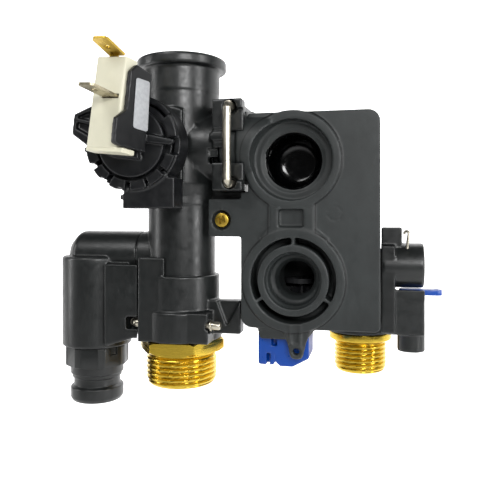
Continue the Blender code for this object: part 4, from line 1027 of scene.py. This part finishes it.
def fill_body():
    """Non-return valve housing, tap block and outlet pipe of the filling loop."""
    x, (_, y, z) = TAP_X, CHECK_AXIS
    body = lathe([(0, 75.5), (8.3, 75.5), (8.3, 89.9, 0.8), (0, 89.9)], "x", (0, y, z), 96)
    wall = block((74.5, 79.4), (y - 8.0, y + 8.0), (20.0, 52.0))
    add(wall, block((74.6, 82.0), (y - 5.0, y + 5.0), (48.0, 58.6)))
    cut(wall, rod(6.4, 70.0, 75.5, "x", (0, y, z)))
    add(body, wall, block((75.9, 90.0), (y - 6.5, y + 6.5), (19.2, 33.0), 1.0))
    add(body, block((76.5, 90.0), (y - 6.5, y - 5.0), (32.0, 35.8)), rod(5.0, 12.6, 24.0, centre=(x, y, 0)))
    cut(body, rod(5.4, 76.8, 87.6, "x", (0, y, z)), rod(3.4, 70.0, 78.0, "x", (0, y, z)))
    cut(body, rod(1.4, 28.0, 42.0, centre=(77.9, y, 0)), rod(1.5, 76.9, 83.0, "x", (0, y, 28.2)))
    cut(body, rod(4.1, 24.0, 34.6, centre=(x, y, 0)), rod(3.2, 10.0, 26.0, centre=(x, y, 0)))
    cut(body, block((80.2, 83.0), (3.0, 8.0), (53.0, 56.4)))
    mould(body, 0.36, 3)
    finish(body, "fill_valve_body", NYLON, "black_nylon", "fill_housing")

    key = lathe([(0, 30.0), (2.4, 30.0), (2.4, 24.4), (3.8, 24.4), (3.8, 31.0), (3.0, 31.0), (3.0, 32.4),
                 (3.8, 32.4), (3.8, 33.3), (4.4, 33.3, 0.3), (4.4, 35.7, 0.4), (0, 35.7)], centre=(x, y, 0))
    wing = prism([(x + 2.5, y - 2.2), (94.8, y - 2.2, 0.4), (96.4, y - 1.4, 0.4), (96.4, y + 1.4, 0.4),
                  (94.8, y + 2.2, 0.4), (x + 2.5, y + 2.2)], 33.5, 35.5)
    cut(wing, block((93.6, 95.2), (y - 1.0, y + 1.0), (35.0, 36.0)))
    add(key, wing)
    cut(key, rod(1.5, x - 6.0, x, "x", (0, y, 28.2)))
    bevel(key, 0.2, 2, 40)
    finish(key, "fill_tap_lever", BLUE, "blue_plastic", "fill_tap_key", body="fill_tap", sharp=40)

    clip = wire([(83.6, y - 9.6, 51.2), (83.8, y - 9.9, 54.0), (84.2, y - 9.7, 56.6), (83.4, y - 9.0, 57.4),
                 (82.6, y - 8.6, 56.6)], 0.5, 16, 6)
    finish(clip, "tap_spring_clip", STEEL, "steel", "tap_clip", sharp=50)


def plain_nodes():
    """Give every CAD node that stays its own procedural material."""
    slots = {row["node"]: row["material_slot"] for row in frame["record"]["subparts"]}
    for name, node in frame["nodes"].items():
        material = SLOT_MATERIALS[slots[name]]
        if name in ("bypass_spring", "check_spring"):
            material = STEEL
        if name in ("turbine", "turbine_cage"):
            material = MOTOR_BLACK
        node.data.materials.clear()
        node.data.materials.append(material)


# ---- studio

CAMERA_PLACE = (0.0739, -0.2131, 0.0625)
CAMERA_TURN = 12.3
CAMERA_LENS = 42.12
CAMERA_SHIFT = (-0.004, -0.066)
LAMP_TARGET = (0.02, 0.0, 0.06)
LAMPS = (  # name, place and size in metres, power in watts
    ("key", (-0.14, -0.38, 0.40), (0.24, 0.18), 1.0),
    ("front right", (0.22, -0.42, 0.20), (0.20, 0.10), 1.35),
    ("right strip", (0.44, -0.16, 0.14), (0.06, 0.34), 1.2),
    ("left strip", (-0.46, -0.14, 0.12), (0.06, 0.34), 0.7),
    ("back", (0.0, 0.42, 0.45), (0.5, 0.3), 0.8),
)
WORLD_STRENGTH = 0.07


def stage():
    """Pale floor that sweeps up behind the object."""
    depth, height, radius, width = 0.55, 0.75, 0.25, 1.6
    floor = -0.10
    profile = [(-0.9, floor), (depth - radius, floor)]
    for step in range(13):
        angle = radians(90 * step / 12)
        profile.append((depth - radius + radius * sin(angle), floor + radius - radius * cos(angle)))
    profile.append((depth, floor + height))
    builder = bmesh.new()
    rows = []
    for y, z in profile:
        rows.append([builder.verts.new((x, y, z)) for x in (-width, width)])
    for first, second in zip(rows, rows[1:]):
        builder.faces.new((first[0], first[1], second[1], second[0]))
    mesh = bpy.data.meshes.new("floor")
    builder.to_mesh(mesh)
    builder.free()
    mesh.shade_smooth()
    floor_object = place_object("floor", mesh)
    paint = bpy.data.materials.new("floor white")
    paint.use_nodes = True
    shader = paint.node_tree.nodes["Principled BSDF"]
    shader.inputs["Base Color"].default_value = (0.9, 0.9, 0.9, 1.0)
    shader.inputs["Roughness"].default_value = 0.9
    shader.inputs["Emission Color"].default_value = (1.0, 1.0, 1.0, 1.0)
    nodes, links = paint.node_tree.nodes, paint.node_tree.links
    place = nodes.new("ShaderNodeSeparateXYZ")
    links.new(nodes.new("ShaderNodeTexCoord").outputs["Object"], place.inputs["Vector"])
    fade = nodes.new("ShaderNodeMapRange")
    fade.inputs["From Min"].default_value = -0.05
    fade.inputs["From Max"].default_value = 0.11
    fade.inputs["To Max"].default_value = 0.95
    links.new(place.outputs["Y"], fade.inputs["Value"])
    links.new(fade.outputs["Result"], shader.inputs["Emission Strength"])
    mesh.materials.append(paint)


def lamp(name, place, target, size, power):
    """Square softbox aimed at a point; places in metres."""
    light = bpy.data.lights.new(name, "AREA")
    light.shape = "RECTANGLE"
    light.size, light.size_y = size
    light.energy = power
    thing = place_object(name, light)
    thing.location = place
    thing.rotation_euler = (Vector(target) - Vector(place)).to_track_quat("-Z", "Y").to_euler()


def studio():
    """Camera, soft lights and a dim world."""
    camera_data = bpy.data.cameras.new("camera")
    camera_data.sensor_width = 36.0
    camera_data.lens = CAMERA_LENS
    camera_data.shift_x, camera_data.shift_y = CAMERA_SHIFT
    camera_data.clip_start = 0.01
    camera = place_object("camera", camera_data)
    camera.location = CAMERA_PLACE
    camera.rotation_euler = (radians(90), 0, radians(CAMERA_TURN))
    bpy.context.scene.camera = camera
    for name, place, size, power in LAMPS:
        lamp(name, place, LAMP_TARGET, size, power)
    world = bpy.data.worlds.new("studio")
    world.use_nodes = True
    world.node_tree.nodes["Background"].inputs["Color"].default_value = (1.0, 1.0, 1.0, 1.0)
    world.node_tree.nodes["Background"].inputs["Strength"].default_value = WORLD_STRENGTH
    bpy.context.scene.world = world
    bpy.context.scene.view_settings.view_transform = "Standard"


studio()
stage()
plain_nodes()
column()
chamber_cap()
cross_clip()
motor_base()
motor_pieces()
return_block()
return_clip()
brass_fittings()
bypass()
port_plate()
rear_cover()
flow_sensor()
fill_body()
